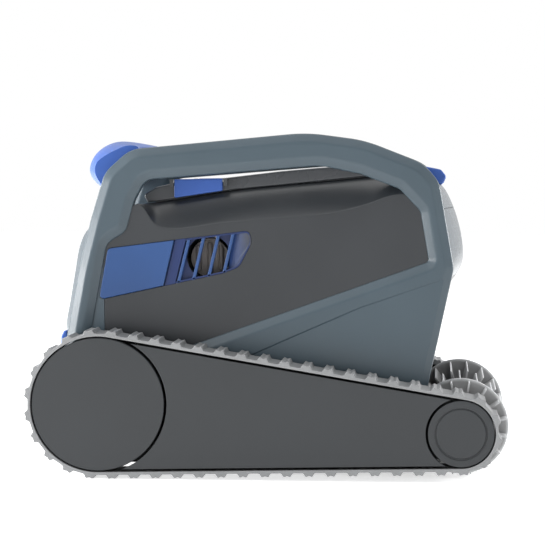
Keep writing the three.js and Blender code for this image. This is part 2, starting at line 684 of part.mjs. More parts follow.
// ---------------------------------------------------------------- tracks

/** Half the difference in direction between the belt's upper and lower runs. */
const RUN_SLOPE = Math.asin(
  (REAR_RUN_RADIUS - FRONT_RUN_RADIUS)
  / Math.hypot(WHEELBASE, REAR_AXLE.z - FRONT_AXLE.z),
);
const FRONT_ARC = (Math.PI - 2 * RUN_SLOPE) * FRONT_RUN_RADIUS;
const REAR_ARC = (Math.PI + 2 * RUN_SLOPE) * REAR_RUN_RADIUS;
const LOOP_LENGTH = 2 * WHEELBASE + FRONT_ARC + REAR_ARC;

/** Point on the belt's inner loop after `run` mm, pushed outwards by `lift`. */
function loopPoint(run, lift) {
  const along = ((run % LOOP_LENGTH) + LOOP_LENGTH) % LOOP_LENGTH;
  const onArc = (axle, radius, angle) => [
    axle.x + (radius + lift) * Math.cos(angle),
    axle.z + (radius + lift) * Math.sin(angle),
  ];
  if (along < WHEELBASE) {
    return [REAR_AXLE.x + along, BELT_THICKNESS - lift];
  }
  if (along < WHEELBASE + FRONT_ARC) {
    const angle = -Math.PI / 2 + (along - WHEELBASE) / FRONT_RUN_RADIUS;
    return onArc(FRONT_AXLE, FRONT_RUN_RADIUS, angle);
  }
  const topAngle = Math.PI / 2 - 2 * RUN_SLOPE;
  const afterFront = along - WHEELBASE - FRONT_ARC;
  if (afterFront < WHEELBASE) {
    const [x, z] = onArc(FRONT_AXLE, FRONT_RUN_RADIUS, topAngle);
    return [x - afterFront * Math.sin(topAngle), z + afterFront * Math.cos(topAngle)];
  }
  return onArc(REAR_AXLE, REAR_RUN_RADIUS, topAngle + (afterFront - WHEELBASE) / REAR_RUN_RADIUS);
}

/** Closed outline that follows the belt's inner loop at a constant distance. */
function loopOutline(lift, count = 84) {
  return Array.from({ length: count }, (_, i) => loopPoint((i * LOOP_LENGTH) / count, lift));
}

/** Rubber belt with lugs all round its outside. */
function buildBelt() {
  const pitch = LOOP_LENGTH / LUG_COUNT;
  const tooth = [
    [-LUG_BASE / 2, BELT_ROOT], [-LUG_TIP / 2, BELT_THICKNESS], [LUG_TIP / 2, BELT_THICKNESS],
    [LUG_BASE / 2, BELT_ROOT],
  ];
  const outside = [];
  for (let i = 0; i < LUG_COUNT; i += 1) {
    tooth.forEach(([offset, lift]) => outside.push(loopPoint(FIRST_LUG + i * pitch + offset, lift)));
  }
  return plate(outside, -HALF_WIDTH, -BELT_INNER_FACE, [loopOutline(0, 72)]);
}

/** Inner plate that carries both wheels of one track. */
function buildTrackPlate() {
  return cut(
    plate(loopOutline(-4, 48), -158.8, -155.6),
    rodAcross(AXLE_RADIUS + 1, -170, -140, REAR_AXLE),
    rodAcross(7.3, -170, -140, FRONT_AXLE),
  );
}

/** Outer cover between the wheels, with two bosses reaching the inner plate. */
function buildTrackCover() {
  const outer = common(
    plate(loopOutline(-2.2, 60), -COVER_FACE, -COVER_BACK),
    box([-140, -210, 0], [165, -190, 130]),
  );
  const cover = cut(
    outer,
    rodAcross(REAR_WHEEL_RADIUS + 2.4, -220, -190, REAR_AXLE, 48),
    rodAcross(FRONT_WHEEL_RADIUS + 2, -220, -190, FRONT_AXLE, 32),
  );
  const bosses = [[-62, 60], [112, 40]].map(([x, z]) => rodAcross(9, -201, -159.2, { x, z }));
  return join(cover, ...bosses);
}

/** Large driving wheel: drum, plain closed face and a hub that takes the axle from inside. */
function buildRearWheel() {
  const face = -WHEEL_FACE;
  const bore = AXLE_RADIUS + AXLE_CLEARANCE;
  const drumInside = REAR_WHEEL_RADIUS - 3.6;
  const hub = 15;
  return turnedAcross([
    [0, face], [REAR_WHEEL_RADIUS - 0.6, face], [REAR_WHEEL_RADIUS, face + 0.6],
    [REAR_WHEEL_RADIUS, -WHEEL_INNER_END], [drumInside, -WHEEL_INNER_END], [drumInside, face + 4], [hub, face + 4],
    [hub, -HUB_INNER_END], [bore, -HUB_INNER_END], [bore, face + 6], [0, face + 6],
  ], REAR_AXLE, 32);
}

/** Small front wheel with a raised round cap. */
function buildFrontWheel() {
  const face = -COVER_FACE;
  const bore = FRONT_AXLE_RADIUS + AXLE_CLEARANCE + 0.2;
  const drumInside = FRONT_WHEEL_RADIUS - 3.8;
  const hub = 13;
  const web = face + 8;
  return turnedAcross([
    [0, face], [21, face], [22.2, face + 1.2], [23.4, face + 1.2], [23.6, face + 0.4],
    [FRONT_WHEEL_RADIUS, face + 0.4], [FRONT_WHEEL_RADIUS, -WHEEL_INNER_END], [drumInside, -WHEEL_INNER_END],
    [drumInside, web], [hub, web], [hub, -HUB_INNER_END], [bore, -HUB_INNER_END], [bore, face + 4], [0, face + 4],
  ], FRONT_AXLE, 24);
}

function buildTracks() {
  addPair('track_belt', buildBelt(), 'rubber');
  addPair('track_plate', buildTrackPlate(), 'black');
  addPair('track_cover', buildTrackCover(), 'charcoal');
  addPair('rear_wheel', buildRearWheel(), 'charcoal');
  addPair('front_wheel', buildFrontWheel(), 'charcoal');
  addPair('drive_axle', rodAcross(AXLE_RADIUS, -197.4, -61, REAR_AXLE, 24), 'steel');
  addPair('front_axle', rodAcross(FRONT_AXLE_RADIUS, -199.4, -139, FRONT_AXLE, 20), 'steel');
}

// ---------------------------------------------------------------- brush

/** Sleeve with thin radial vanes between two Y values; `turn` is in vane pitches. */
function buildVanes(yLow, yHigh, turn) {
  const pitch = (2 * Math.PI) / VANE_COUNT;
  const root = CORE_RADIUS + 3.4;
  const halfThickness = 1.4;
  const outline = [];
  for (let i = 0; i < VANE_COUNT; i += 1) {
    const angle = (i + turn) * pitch;
    [[root, -1], [BRUSH_RADIUS, -0.7], [BRUSH_RADIUS, 0.7], [root, 1]].forEach(([radius, side]) => {
      const swing = angle + Math.asin((side * halfThickness) / radius);
      outline.push([FRONT_AXLE.x + radius * Math.cos(swing), FRONT_AXLE.z + radius * Math.sin(swing)]);
    });
  }
  const bore = rodAcross(CORE_RADIUS + GAP, yLow - 1, yHigh + 1, FRONT_AXLE, 24);
  return cut(plate(outline, yLow, yHigh), bore);
}

function buildBrush() {
  const halfDisc = 1.5;
  const core = cut(
    rodAcross(CORE_RADIUS, -BRUSH_HALF_LENGTH, BRUSH_HALF_LENGTH, FRONT_AXLE, 24),
    rodAcross(7.6, -160, -136, FRONT_AXLE),
    rodAcross(7.6, 136, 160, FRONT_AXLE),
  );
  addPiece('brush_core', core, 'black');
  const disc = turnedAcross([
    [CORE_RADIUS + GAP, -DISC_PLACE - halfDisc], [DISC_RADIUS - 1, -DISC_PLACE - halfDisc],
    [DISC_RADIUS, -DISC_PLACE - halfDisc + 0.6], [DISC_RADIUS, -DISC_PLACE + halfDisc - 0.6],
    [DISC_RADIUS - 1, -DISC_PLACE + halfDisc], [CORE_RADIUS + GAP, -DISC_PLACE + halfDisc],
  ], FRONT_AXLE, 32);
  addPair('brush_disc', disc, 'bristle');
  const innerEdge = -DISC_PLACE + halfDisc + GAP;
  addPiece('brush_vanes_inner_right', buildVanes(innerEdge, -GAP / 2, 0), 'bristle');
  addPiece('brush_vanes_inner_left', buildVanes(GAP / 2, -innerEdge, 0.5), 'bristle');
  addPair('brush_vanes_end', buildVanes(-BRUSH_HALF_LENGTH, -DISC_PLACE - halfDisc - GAP, 0.5), 'bristle');
}

// ---------------------------------------------------------------- assembly

buildBody();
addPair('side_frame', buildSideFrame(), 'teal');
addPiece('grip', buildGrip(), 'blue');
buildLidGroup();
buildWaterPath();
buildFilter();
buildTracks();
buildBrush();

/** Nose-up angle at which the rear belt's last ground lug and the brush discs rest together. */
function restingAngle() {
  const fromLug = { x: WHEELBASE - FIRST_LUG + LUG_TIP / 2, z: FRONT_AXLE.z };
  const toCentre = Math.atan2(fromLug.z, fromLug.x);
  const toTangent = Math.asin(DISC_RADIUS / Math.hypot(fromLug.x, fromLug.z));
  return toTangent - toCentre;
}

machine.rotation.y = -restingAngle();
machine.updateMatrixWorld(true);
const extent = new THREE.Box3().setFromObject(machine, true);
machine.position.set(-(extent.min.x + extent.max.x) / 2, 0, -extent.min.z);

const group = new THREE.Group();
group.name = 'pool_cleaner';
group.add(machine);

export default group;
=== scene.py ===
"""Finished look of a robotic swimming-pool cleaner on two tracks.

Shapes are worked out in the machine's level frame, in millimetres: X towards the brush, Y to the left, Z up, with
the belts level. One Stance carries them into the resting frame in metres. Right-hand pieces are drawn first (Y is
negative there) and mirrored for the left.
"""

import json
import logging
import math
from dataclasses import dataclass, field
from enum import Enum
from typing import Optional, Sequence

import bmesh
import bpy
import numpy as np
from mathutils import Euler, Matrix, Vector
from mathutils.geometry import tessellate_polygon


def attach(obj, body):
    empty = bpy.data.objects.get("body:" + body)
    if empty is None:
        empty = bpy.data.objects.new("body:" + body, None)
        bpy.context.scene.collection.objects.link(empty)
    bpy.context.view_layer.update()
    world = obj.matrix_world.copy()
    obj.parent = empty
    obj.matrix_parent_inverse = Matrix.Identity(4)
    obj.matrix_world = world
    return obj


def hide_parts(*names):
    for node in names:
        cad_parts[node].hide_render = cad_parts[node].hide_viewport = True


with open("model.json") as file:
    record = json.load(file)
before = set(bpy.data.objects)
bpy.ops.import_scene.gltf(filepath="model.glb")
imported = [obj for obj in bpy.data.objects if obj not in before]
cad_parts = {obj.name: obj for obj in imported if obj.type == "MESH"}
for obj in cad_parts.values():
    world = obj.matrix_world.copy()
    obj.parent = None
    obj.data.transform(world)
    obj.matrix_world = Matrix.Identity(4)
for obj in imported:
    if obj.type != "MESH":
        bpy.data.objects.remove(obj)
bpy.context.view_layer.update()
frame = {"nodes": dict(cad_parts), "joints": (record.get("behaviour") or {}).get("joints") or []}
LOG = logging.getLogger("pool_cleaner")

Array = np.ndarray
Socket = bpy.types.NodeSocket
MM = 0.001


class Cutting(Enum):
    """How two solids are combined."""

    REMOVE = "DIFFERENCE"
    KEEP_SHARED = "INTERSECT"
    JOIN = "UNION"


class Side(Enum):
    """A side of the machine and the sign of Y on it."""

    RIGHT = -1
    LEFT = 1

    @property
    def word(self) -> str:
        """The side's name as it ends a piece's name."""
        return self.name.lower()


# ---------------------------------------------------------------- outlines


def rounded(corners: Sequence[tuple], steps: int = 12) -> Array:
    """Closed outline whose corners are quadratic curves.

    Each curve is (1-t)^2 start + 2t(1-t) corner + t^2 end. Its ends lie radius / tan(half the corner's angle) from
    the corner, and no more than 0.48 of the shorter side that meets there.

    Args:
        corners: (x, z) or (x, z, radius) for each corner.
        steps: points along each curve.

    Returns:
        Points (n, 2).
    """
    table = np.array([(*corner, 0.0)[:3] for corner in corners], float)
    here = table[:, :2]
    back = np.roll(here, 1, axis=0) - here
    ahead = np.roll(here, -1, axis=0) - here
    back_length = np.linalg.norm(back, axis=1)
    ahead_length = np.linalg.norm(ahead, axis=1)
    cosine = (back * ahead).sum(axis=1) / (back_length * ahead_length)
    half_angle = np.arccos(np.clip(cosine, -1.0, 1.0)) / 2
    reach = np.minimum.reduce([table[:, 2] / np.tan(half_angle), 0.48 * back_length, 0.48 * ahead_length])
    start = here + back * (reach / back_length)[:, None]
    end = here + ahead * (reach / ahead_length)[:, None]
    t = np.linspace(0.0, 1.0, steps)[None, :, None]
    curve = (1 - t) ** 2 * start[:, None] + 2 * t * (1 - t) * here[:, None] + t**2 * end[:, None]
    return without_doubles(curve.reshape(-1, 2))


def without_doubles(outline: Array, least: float = 0.02) -> Array:
    """Closed outline less the points that lie closer than `least` to the one before them."""
    step = np.linalg.norm(outline - np.roll(outline, 1, axis=0), axis=1)
    return outline[step > least]


def grown(outline: Array, distance: float | Array) -> Array:
    """Closed outline moved sideways along the mean normal of each point's two sides; positive makes it larger.

    Args:
        outline: points (..., n, 2).
        distance: how far, one number or one for each outline.

    Returns:
        Points of the same shape.
    """
    into = outline - np.roll(outline, 1, axis=-2)
    out = np.roll(outline, -1, axis=-2) - outline
    cross = outline[..., 0] * np.roll(outline[..., 1], -1, axis=-1)
    cross -= outline[..., 1] * np.roll(outline[..., 0], -1, axis=-1)
    turn = np.sign(cross.sum(axis=-1))[..., None, None]
    into /= np.maximum(np.linalg.norm(into, axis=-1, keepdims=True), 1e-9)
    out /= np.maximum(np.linalg.norm(out, axis=-1, keepdims=True), 1e-9)
    total = into + out
    normal = np.stack([total[..., 1], -total[..., 0]], axis=-1)
    normal /= np.maximum(np.linalg.norm(normal, axis=-1, keepdims=True), 1e-9)
    straightness = (into * out).sum(axis=-1, keepdims=True)
    spread = np.maximum(0.4, np.sqrt(np.maximum(0.0, (1 + straightness) / 2)))
    amount = np.asarray(distance, float)
    amount = amount.reshape(amount.shape + (1, 1)) if amount.ndim else amount
    return outline + normal * turn * amount / spread


def spline(points: Array, steps: int, closed: bool) -> Array:
    """Smooth curve through points: a centripetal Catmull-Rom spline, by the pyramid of weighted means.

    Knots lie the square root of the distance apart. An open curve gets one mirrored point past each end.

    Args:
        points: (..., n, d).
        steps: points for each stretch between two given points.
        closed: whether the curve joins up.

    Returns:
        Points (..., m, d).
    """
    if closed:
        quads = [np.roll(points, shift, axis=-2) for shift in (1, 0, -1, -2)]
    else:
        first = 2 * points[..., :1, :] - points[..., 1:2, :]
        last = 2 * points[..., -1:, :] - points[..., -2:-1, :]
        padded = np.concatenate([first, points, last], axis=-2)
        count = points.shape[-2] - 1
        quads = [padded[..., k : k + count, :] for k in range(4)]
    p0, p1, p2, p3 = (quad[..., :, None, :] for quad in quads)

    def knot(before: Array, a: Array, b: Array) -> Array:
        """Next knot after `before`."""
        return before + np.maximum(np.linalg.norm(b - a, axis=-1, keepdims=True), 1e-6) ** 0.5

    t0 = np.zeros_like(p0[..., :1])
    t1 = knot(t0, p0, p1)
    t2 = knot(t1, p1, p2)
    t3 = knot(t2, p2, p3)
    t = t1 + (t2 - t1) * np.linspace(0.0, 1.0, steps, endpoint=False)[:, None]
    a1 = (t1 - t) / (t1 - t0) * p0 + (t - t0) / (t1 - t0) * p1
    a2 = (t2 - t) / (t2 - t1) * p1 + (t - t1) / (t2 - t1) * p2
    a3 = (t3 - t) / (t3 - t2) * p2 + (t - t2) / (t3 - t2) * p3
    b1 = (t2 - t) / (t2 - t0) * a1 + (t - t0) / (t2 - t0) * a2
    b2 = (t3 - t) / (t3 - t1) * a2 + (t - t1) / (t3 - t1) * a3
    curve = (t2 - t) / (t2 - t1) * b1 + (t - t1) / (t2 - t1) * b2
    curve = curve.reshape(*curve.shape[:-3], -1, curve.shape[-1])
    return curve if closed else np.concatenate([curve, points[..., -1:, :]], axis=-2)


def round_edge(radius: float, steps: int = 5) -> Array:
    """Quarter-circle edge: (inset, depth) from the face's border out to the side wall."""
    angle = np.linspace(0.0, math.pi / 2, steps)
    return radius * np.stack([1 - np.sin(angle), 1 - np.cos(angle)], axis=1)


def soft_chamfer(size: float, depth: float, softness: float, steps: int = 4) -> Array:
    """Chamfered edge with both of its corners eased: (inset, depth) from the face out to the wall.

    Each eased corner is a quadratic curve that reaches `softness` along both of its sides.
    """
    line = np.array([[size + softness, 0.0], [size, 0.0], [0.0, depth], [0.0, depth + softness]])
    t = np.linspace(0.0, 1.0, steps)[:, None]
    along = (line[2] - line[1]) / np.hypot(size, depth) * softness
    upper = (1 - t) ** 2 * line[0] + 2 * t * (1 - t) * line[1] + t**2 * (line[1] + along)
    lower = (1 - t) ** 2 * (line[2] - along) + 2 * t * (1 - t) * line[2] + t**2 * line[3]
    return np.concatenate([upper, lower])


SHARP = np.array([[0.0, 0.0]])


# ---------------------------------------------------------------- solids


@dataclass
class Form:
    """Closed surface in level millimetres.

    Attributes:
        points: (n, 3).
        faces: corner numbers of each face.
    """

    points: Array
    faces: list

    def plus(self, *others: "Form") -> "Form":
        """These closed surfaces side by side, with nothing merged."""
        points = [self.points]
        faces = list(self.faces)
        start = len(self.points)
        for other in others:
            points.append(other.points)
            faces.extend(tuple(corner + start for corner in face) for face in other.faces)
            start += len(other.points)
        return Form(np.concatenate(points), faces)

    def mirrored(self) -> "Form":
        """The same form on the other side of the machine."""
        return Form(self.points * [1, -1, 1], [tuple(reversed(face)) for face in self.faces])

    def on(self, side: Side) -> "Form":
        """The form, drawn on the right, as it is on `side`."""
        return self if side is Side.RIGHT else self.mirrored()

    def mesh(self, name: str) -> bpy.types.Mesh:
        """A mesh with doubles merged, poles closed and faces pointing outwards."""
        mesh = bpy.data.meshes.new(name)
        mesh.from_pydata(self.points.tolist(), [], self.faces)
        work = bmesh.new()
        work.from_mesh(mesh)
        bmesh.ops.remove_doubles(work, verts=work.verts, dist=2e-3)
        bmesh.ops.dissolve_degenerate(work, edges=work.edges, dist=1e-3)
        loose = [edge for edge in work.edges if not edge.link_faces]
        bmesh.ops.delete(work, geom=loose, context="EDGES")
        bmesh.ops.recalc_face_normals(work, faces=work.faces)
        work.to_mesh(mesh)
        work.free()
        return mesh

    def combined(self, cutting: Cutting, *tools: "Form", solver: str = "MANIFOLD") -> "Form":
        """This form cut by, kept within or joined to each tool in turn.

        Args:
            cutting: what is done with each tool.
            *tools: closed forms, used one after another.
            solver: Blender's name for the Boolean method.

        Returns:
            The resulting form.
        """
        scene = bpy.context.scene.collection
        work = bpy.data.objects.new("work", self.mesh("work"))
        scene.objects.link(work)
        helpers = []
        for tool in tools:
            helper = bpy.data.objects.new("tool", tool.mesh("tool"))
            scene.objects.link(helper)
            helpers.append(helper)
            modifier = work.modifiers.new("cut", "BOOLEAN")
            modifier.operation = cutting.value
            modifier.solver = solver
            modifier.object = helper
        bpy.context.view_layer.update()
        graph = bpy.context.evaluated_depsgraph_get()
        made = bpy.data.meshes.new_from_object(work.evaluated_get(graph))
        points = np.empty(len(made.vertices) * 3)
        made.vertices.foreach_get("co", points)
        result = Form(points.reshape(-1, 3), [tuple(polygon.vertices) for polygon in made.polygons])
        for used in (work, *helpers):
            data = used.data
            bpy.data.objects.remove(used)
            bpy.data.meshes.remove(data)
        bpy.data.meshes.remove(made)
        return result

    def cut(self, *tools: "Form") -> "Form":
        """This form less every tool."""
        return self.combined(Cutting.REMOVE, *tools)

    def within(self, tool: "Form") -> "Form":
        """The part of this form inside the tool."""
        return self.combined(Cutting.KEEP_SHARED, tool)


def grid_faces(rows: int, columns: int, start: int = 0, closed_rows: bool = False) -> list:
    """Quads between neighbouring rows of a grid whose columns join up."""
    row = np.arange(rows if closed_rows else rows - 1)[:, None]
    column = np.arange(columns)[None, :]
    ahead = (column + 1) % columns
    above = (row + 1) % rows
    quads = np.stack(
        [row * columns + column, row * columns + ahead, above * columns + ahead, above * columns + column], axis=-1
    )
    return [tuple(quad) for quad in (quads.reshape(-1, 4) + start).tolist()]


def capped(rings: Array) -> Form:
    """Solid skinned over rings (rows, columns, 3), with a flat cap on the first and the last."""
    rows, columns, _ = rings.shape
    faces = grid_faces(rows, columns)
    first = tessellate_polygon([[Vector(point) for point in rings[0]]])
    last = tessellate_polygon([[Vector(point) for point in rings[-1]]])
    shift = (rows - 1) * columns
    faces += [tuple(face) for face in first]
    faces += [tuple(corner + shift for corner in face) for face in last]
    return Form(rings.reshape(-1, 3), faces)


def plate(
    outline: Array,
    low: float,
    high: float,
    holes: Sequence[Array] = (),
    low_edge: Array = SHARP,
    high_edge: Array = SHARP,
) -> Form:
    """Plate with an X-Z outline between two Y values; an edge profile is carried round the outline and each hole.

    Args:
        outline: points (n, 2).
        low: Y of the face towards the right.
        high: Y of the other face.
        holes: outlines of the holes.
        low_edge: (inset, depth) of the edge at the low face.
        high_edge: the same at the high face.

    Returns:
        The plate.
    """
    insets = np.concatenate([low_edge[:, 0], high_edge[::-1, 0]])
    places = np.concatenate([low + low_edge[:, 1], high - high_edge[::-1, 1]])
    points: list = []
    faces: list = []
    start = 0
    low_rings = []
    high_rings = []
    for number, loop in enumerate([outline, *holes]):
        sign = -1 if number == 0 else 1
        rings = np.stack([grown(loop, sign * inset) for inset in insets])
        columns = len(loop)
        solid = np.stack([rings[..., 0], np.broadcast_to(places[:, None], rings.shape[:2]), rings[..., 1]], axis=-1)
        points.append(solid.reshape(-1, 3))
        faces += grid_faces(len(insets), columns, start)
        low_rings.append((solid[0], start))
        high_rings.append((solid[-1], start + (len(insets) - 1) * columns))
        start += len(insets) * columns
    for rings in (low_rings, high_rings):
        numbers = np.concatenate([np.arange(len(ring)) + first for ring, first in rings])
        triangles = tessellate_polygon([[Vector((p[0], p[2], 0)) for p in ring] for ring, _ in rings])
        faces += [tuple(int(numbers[corner]) for corner in face) for face in triangles]
    return Form(np.concatenate(points), faces)


def turned(profile: Sequence[tuple], centre: tuple[float, float], segments: int = 96) -> Form:
    """Solid turned about a line along Y: a closed profile of (radius, y) carried round the circle."""
    radius, place = np.array(profile, float).T
    angle = np.linspace(0.0, 2 * math.pi, segments, endpoint=False)
    x = centre[0] + radius[:, None] * np.cos(angle)
    z = centre[1] + radius[:, None] * np.sin(angle)
    y = np.broadcast_to(place[:, None], x.shape)
    rings = np.stack([x, y, z], axis=-1)
    return Form(rings.reshape(-1, 3), grid_faces(len(radius), segments, closed_rows=True))


def rod(radius: float, low: float, high: float, centre: tuple[float, float], segments: int = 48) -> Form:
    """Cylinder along Y between two Y values."""
    return turned([(0, low), (radius, low), (radius, high), (0, high)], centre, segments)


def upright(radius: float, low: float, high: float, centre: tuple[float, float], segments: int = 48) -> Form:
    """Upright cylinder between two heights at (x, y)."""
    lying = rod(radius, low, high, (0.0, 0.0), segments).points
    points = np.stack([lying[:, 0] + centre[0], lying[:, 2] + centre[1], lying[:, 1]], axis=-1)
    return Form(points, grid_faces(4, segments, closed_rows=True))


def block(low: Sequence[float], high: Sequence[float]) -> Form:
    """Box between two corners."""
    (x0, y0, z0), (x1, y1, z1) = low, high
    return plate(np.array([(x0, z0), (x1, z0), (x1, z1), (x0, z1)], float), y0, y1)


# ---------------------------------------------------------------- the machine's sizes


@dataclass(frozen=True)
class Machine:
    """Driving sizes that several pieces share."""

    half_width: float = 205.0
    belt_inner_face: float = 155.0
    gap: float = 0.4
    wheelbase: float = 321.4
    rear_run_radius: float = 60.3
    front_run_radius: float = 30.5
    belt_root: float = 2.6
    lug_height: float = 3.3
    rear_axle_x: float = -150.7
    half_body: float = 148.0
    wall: float = 3.5
    shoulder_width: float = 27.0
    frame_outer_face: float = 153.0
    arch_inner_face: float = 130.0

    @property
    def belt_thickness(self) -> float:
        """Root and lug together."""
        return self.belt_root + self.lug_height

    @property
    def rear_axle(self) -> tuple[float, float]:
        """Centre of the large wheels, (x, z)."""
        return self.rear_axle_x, self.rear_run_radius + self.belt_thickness

    @property
    def front_axle(self) -> tuple[float, float]:
        """Centre of the small wheels and the brush, (x, z)."""
        return self.rear_axle_x + self.wheelbase, self.front_run_radius + self.belt_thickness


@dataclass(frozen=True)
class Stance:
    """The nose-up turn and the shift from the level frame into the resting frame.

    Attributes:
        turn: angle in radians, nose up.
        shift: (x, z) in millimetres, added after the turn.
    """

    turn: float
    shift: tuple[float, float]

    @classmethod
    def from_joints(cls, joints: Sequence[dict], machine: Machine) -> "Stance":
        """The stance that puts both axles where the joints have them.

        Args:
            joints: the frame's joints.
            machine: the driving sizes.

        Returns:
            The stance.
        """
        places = {joint["name"]: np.array(joint["pos_m"]) / MM for joint in joints}
        rear = places["rear_wheel_right_spin"][[0, 2]]
        front = places["front_wheel_right_spin"][[0, 2]]
        level_rear = np.array(machine.rear_axle)
        level_front = np.array(machine.front_axle)
        resting = math.atan2(*(front - rear)[::-1])
        level = math.atan2(*(level_front - level_rear)[::-1])
        bare = cls(resting - level, (0.0, 0.0))
        moved = bare.carry(np.array([[level_rear[0], 0.0, level_rear[1]]]))[0] / MM
        return cls(bare.turn, (float(rear[0] - moved[0]), float(rear[1] - moved[2])))

    def carry(self, points: Array) -> Array:
        """Level millimetres (n, 3) to resting metres: turned about Y, then shifted."""
        cosine, sine = math.cos(self.turn), math.sin(self.turn)
        x = cosine * points[:, 0] - sine * points[:, 2] + self.shift[0]
        z = sine * points[:, 0] + cosine * points[:, 2] + self.shift[1]
        return np.stack([x, points[:, 1], z], axis=-1) * MM


MACHINE = Machine()
STANCE = Stance.from_joints(frame["joints"], MACHINE)


# ---------------------------------------------------------------- shared surface effects


def new_group(name: str, inputs: dict[str, float], outputs: Sequence[str]) -> bpy.types.NodeTree:
    """Empty shader group with number sockets.

    Args:
        name: the group's name.
        inputs: each input's name and default.
        outputs: the outputs' names.

    Returns:
        The group, with its input and output nodes.
    """
    group = bpy.data.node_groups.new(name, "ShaderNodeTree")
    for label, value in inputs.items():
        socket = group.interface.new_socket(label, in_out="INPUT", socket_type="NodeSocketFloat")
        socket.default_value = value
    for label in outputs:
        group.interface.new_socket(label, in_out="OUTPUT", socket_type="NodeSocketFloat")
    group.nodes.new("NodeGroupInput").name = "in"
    group.nodes.new("NodeGroupOutput").name = "out"
    return group


def add_node(tree: bpy.types.NodeTree, kind: str, **settings: object) -> bpy.types.Node:
    """New node of a kind with its plain settings."""
    node = tree.nodes.new(kind)
    for label, value in settings.items():
        setattr(node, label, value)
    return node


def feed(tree: bpy.types.NodeTree, target: Socket, source: object) -> None:
    """Link a socket, or set a number or colour on it."""
    if isinstance(source, bpy.types.NodeSocket):
        tree.links.new(source, target)
    else:
        target.default_value = source


def sums(tree: bpy.types.NodeTree, operation: str, a: object, b: object = 0.0, clamp: bool = False) -> Socket:
    """Result of one Math node."""
    node = add_node(tree, "ShaderNodeMath", operation=operation, use_clamp=clamp)
    feed(tree, node.inputs[0], a)
    feed(tree, node.inputs[1], b)
    return node.outputs[0]


def noise(
    tree: bpy.types.NodeTree, scale: object, detail: float, stretch: Optional[Sequence[float]] = None
) -> Socket:
    """Noise over Object coordinates, 0 to 1, optionally stretched along the axes."""
    place = add_node(tree, "ShaderNodeTexCoord").outputs["Object"]
    if stretch is not None:
        mapping = add_node(tree, "ShaderNodeMapping")
        mapping.inputs["Scale"].default_value = stretch
        tree.links.new(place, mapping.inputs["Vector"])
        place = mapping.outputs["Vector"]
    texture = add_node(tree, "ShaderNodeTexNoise")
    tree.links.new(place, texture.inputs["Vector"])
    feed(tree, texture.inputs["Scale"], scale)
    texture.inputs["Detail"].default_value = detail
    return texture.outputs["Fac"]


def ramp(tree: bpy.types.NodeTree, value: Socket, low: object, high: object) -> Socket:
    """Value carried from low..high to 0..1 with eased ends."""
    node = add_node(tree, "ShaderNodeMapRange", interpolation_type="SMOOTHSTEP")
    feed(tree, node.inputs["Value"], value)
    feed(tree, node.inputs["From Min"], low)
    feed(tree, node.inputs["From Max"], high)
    return node.outputs["Result"]


def grain_group() -> bpy.types.NodeTree:
    """Moulded grain: a height for a bump, and slow mottling for colour and gloss."""
    group = new_group("moulded_grain", {"Grain Scale": 900.0, "Mottle Scale": 14.0}, ("Height", "Mottle"))
    source = group.nodes["in"].outputs
    target = group.nodes["out"].inputs
    fine = noise(group, source["Grain Scale"], 3.0)
    broad = noise(group, source["Mottle Scale"], 4.0)
    feed(group, target["Height"], fine)
    feed(group, target["Mottle"], ramp(group, broad, 0.3, 0.7))
    return group


def painted_edge_highlight_group() -> bpy.types.NodeTree:
    """Painted highlight on edges: 1 minus the cosine between the surface and the same surface with its edges rounded,
    broken up by noise.
    """
    group = new_group("painted_edge_highlight", {"Radius": 0.0012, "Breakup": 0.5}, ("Mask",))
    source = group.nodes["in"].outputs
    bevel = add_node(group, "ShaderNodeBevel", samples=4)
    feed(group, bevel.inputs["Radius"], source["Radius"])
    geometry = add_node(group, "ShaderNodeNewGeometry")
    product = add_node(group, "ShaderNodeVectorMath", operation="DOT_PRODUCT")
    feed(group, product.inputs[0], bevel.outputs["Normal"])
    feed(group, product.inputs[1], geometry.outputs["Normal"])
    bent = sums(group, "SUBTRACT", 1.0, product.outputs["Value"])
    edge = ramp(group, bent, 0.01, 0.2)
    patch = noise(group, 60.0, 3.0)
    kept = sums(group, "SUBTRACT", 1.0, sums(group, "MULTIPLY", source["Breakup"], patch), clamp=True)
    feed(group, group.nodes["out"].inputs["Mask"], sums(group, "MULTIPLY", edge, kept, clamp=True))
    return group


def film_group() -> bpy.types.NodeTree:
    """Dried water film: thin and patchy, stronger on faces that look up, with faint runs down the walls."""
    group = new_group("water_film", {"Cover": 0.3}, ("Mask",))
    source = group.nodes["in"].outputs
    geometry = add_node(group, "ShaderNodeNewGeometry")
    split = add_node(group, "ShaderNodeSeparateXYZ")
    group.links.new(geometry.outputs["Normal"], split.inputs["Vector"])
    upward = ramp(group, split.outputs["Z"], -0.3, 1.0)
    patch = ramp(group, noise(group, 22.0, 5.0), 0.42, 0.72)
    runs = ramp(group, noise(group, 1.0, 3.0, (240.0, 240.0, 14.0)), 0.5, 0.8)
    mixed = sums(group, "ADD", sums(group, "MULTIPLY", upward, patch), sums(group, "MULTIPLY", runs, 0.35))
    feed(group, group.nodes["out"].inputs["Mask"], sums(group, "MULTIPLY", mixed, source["Cover"], clamp=True))
    return group


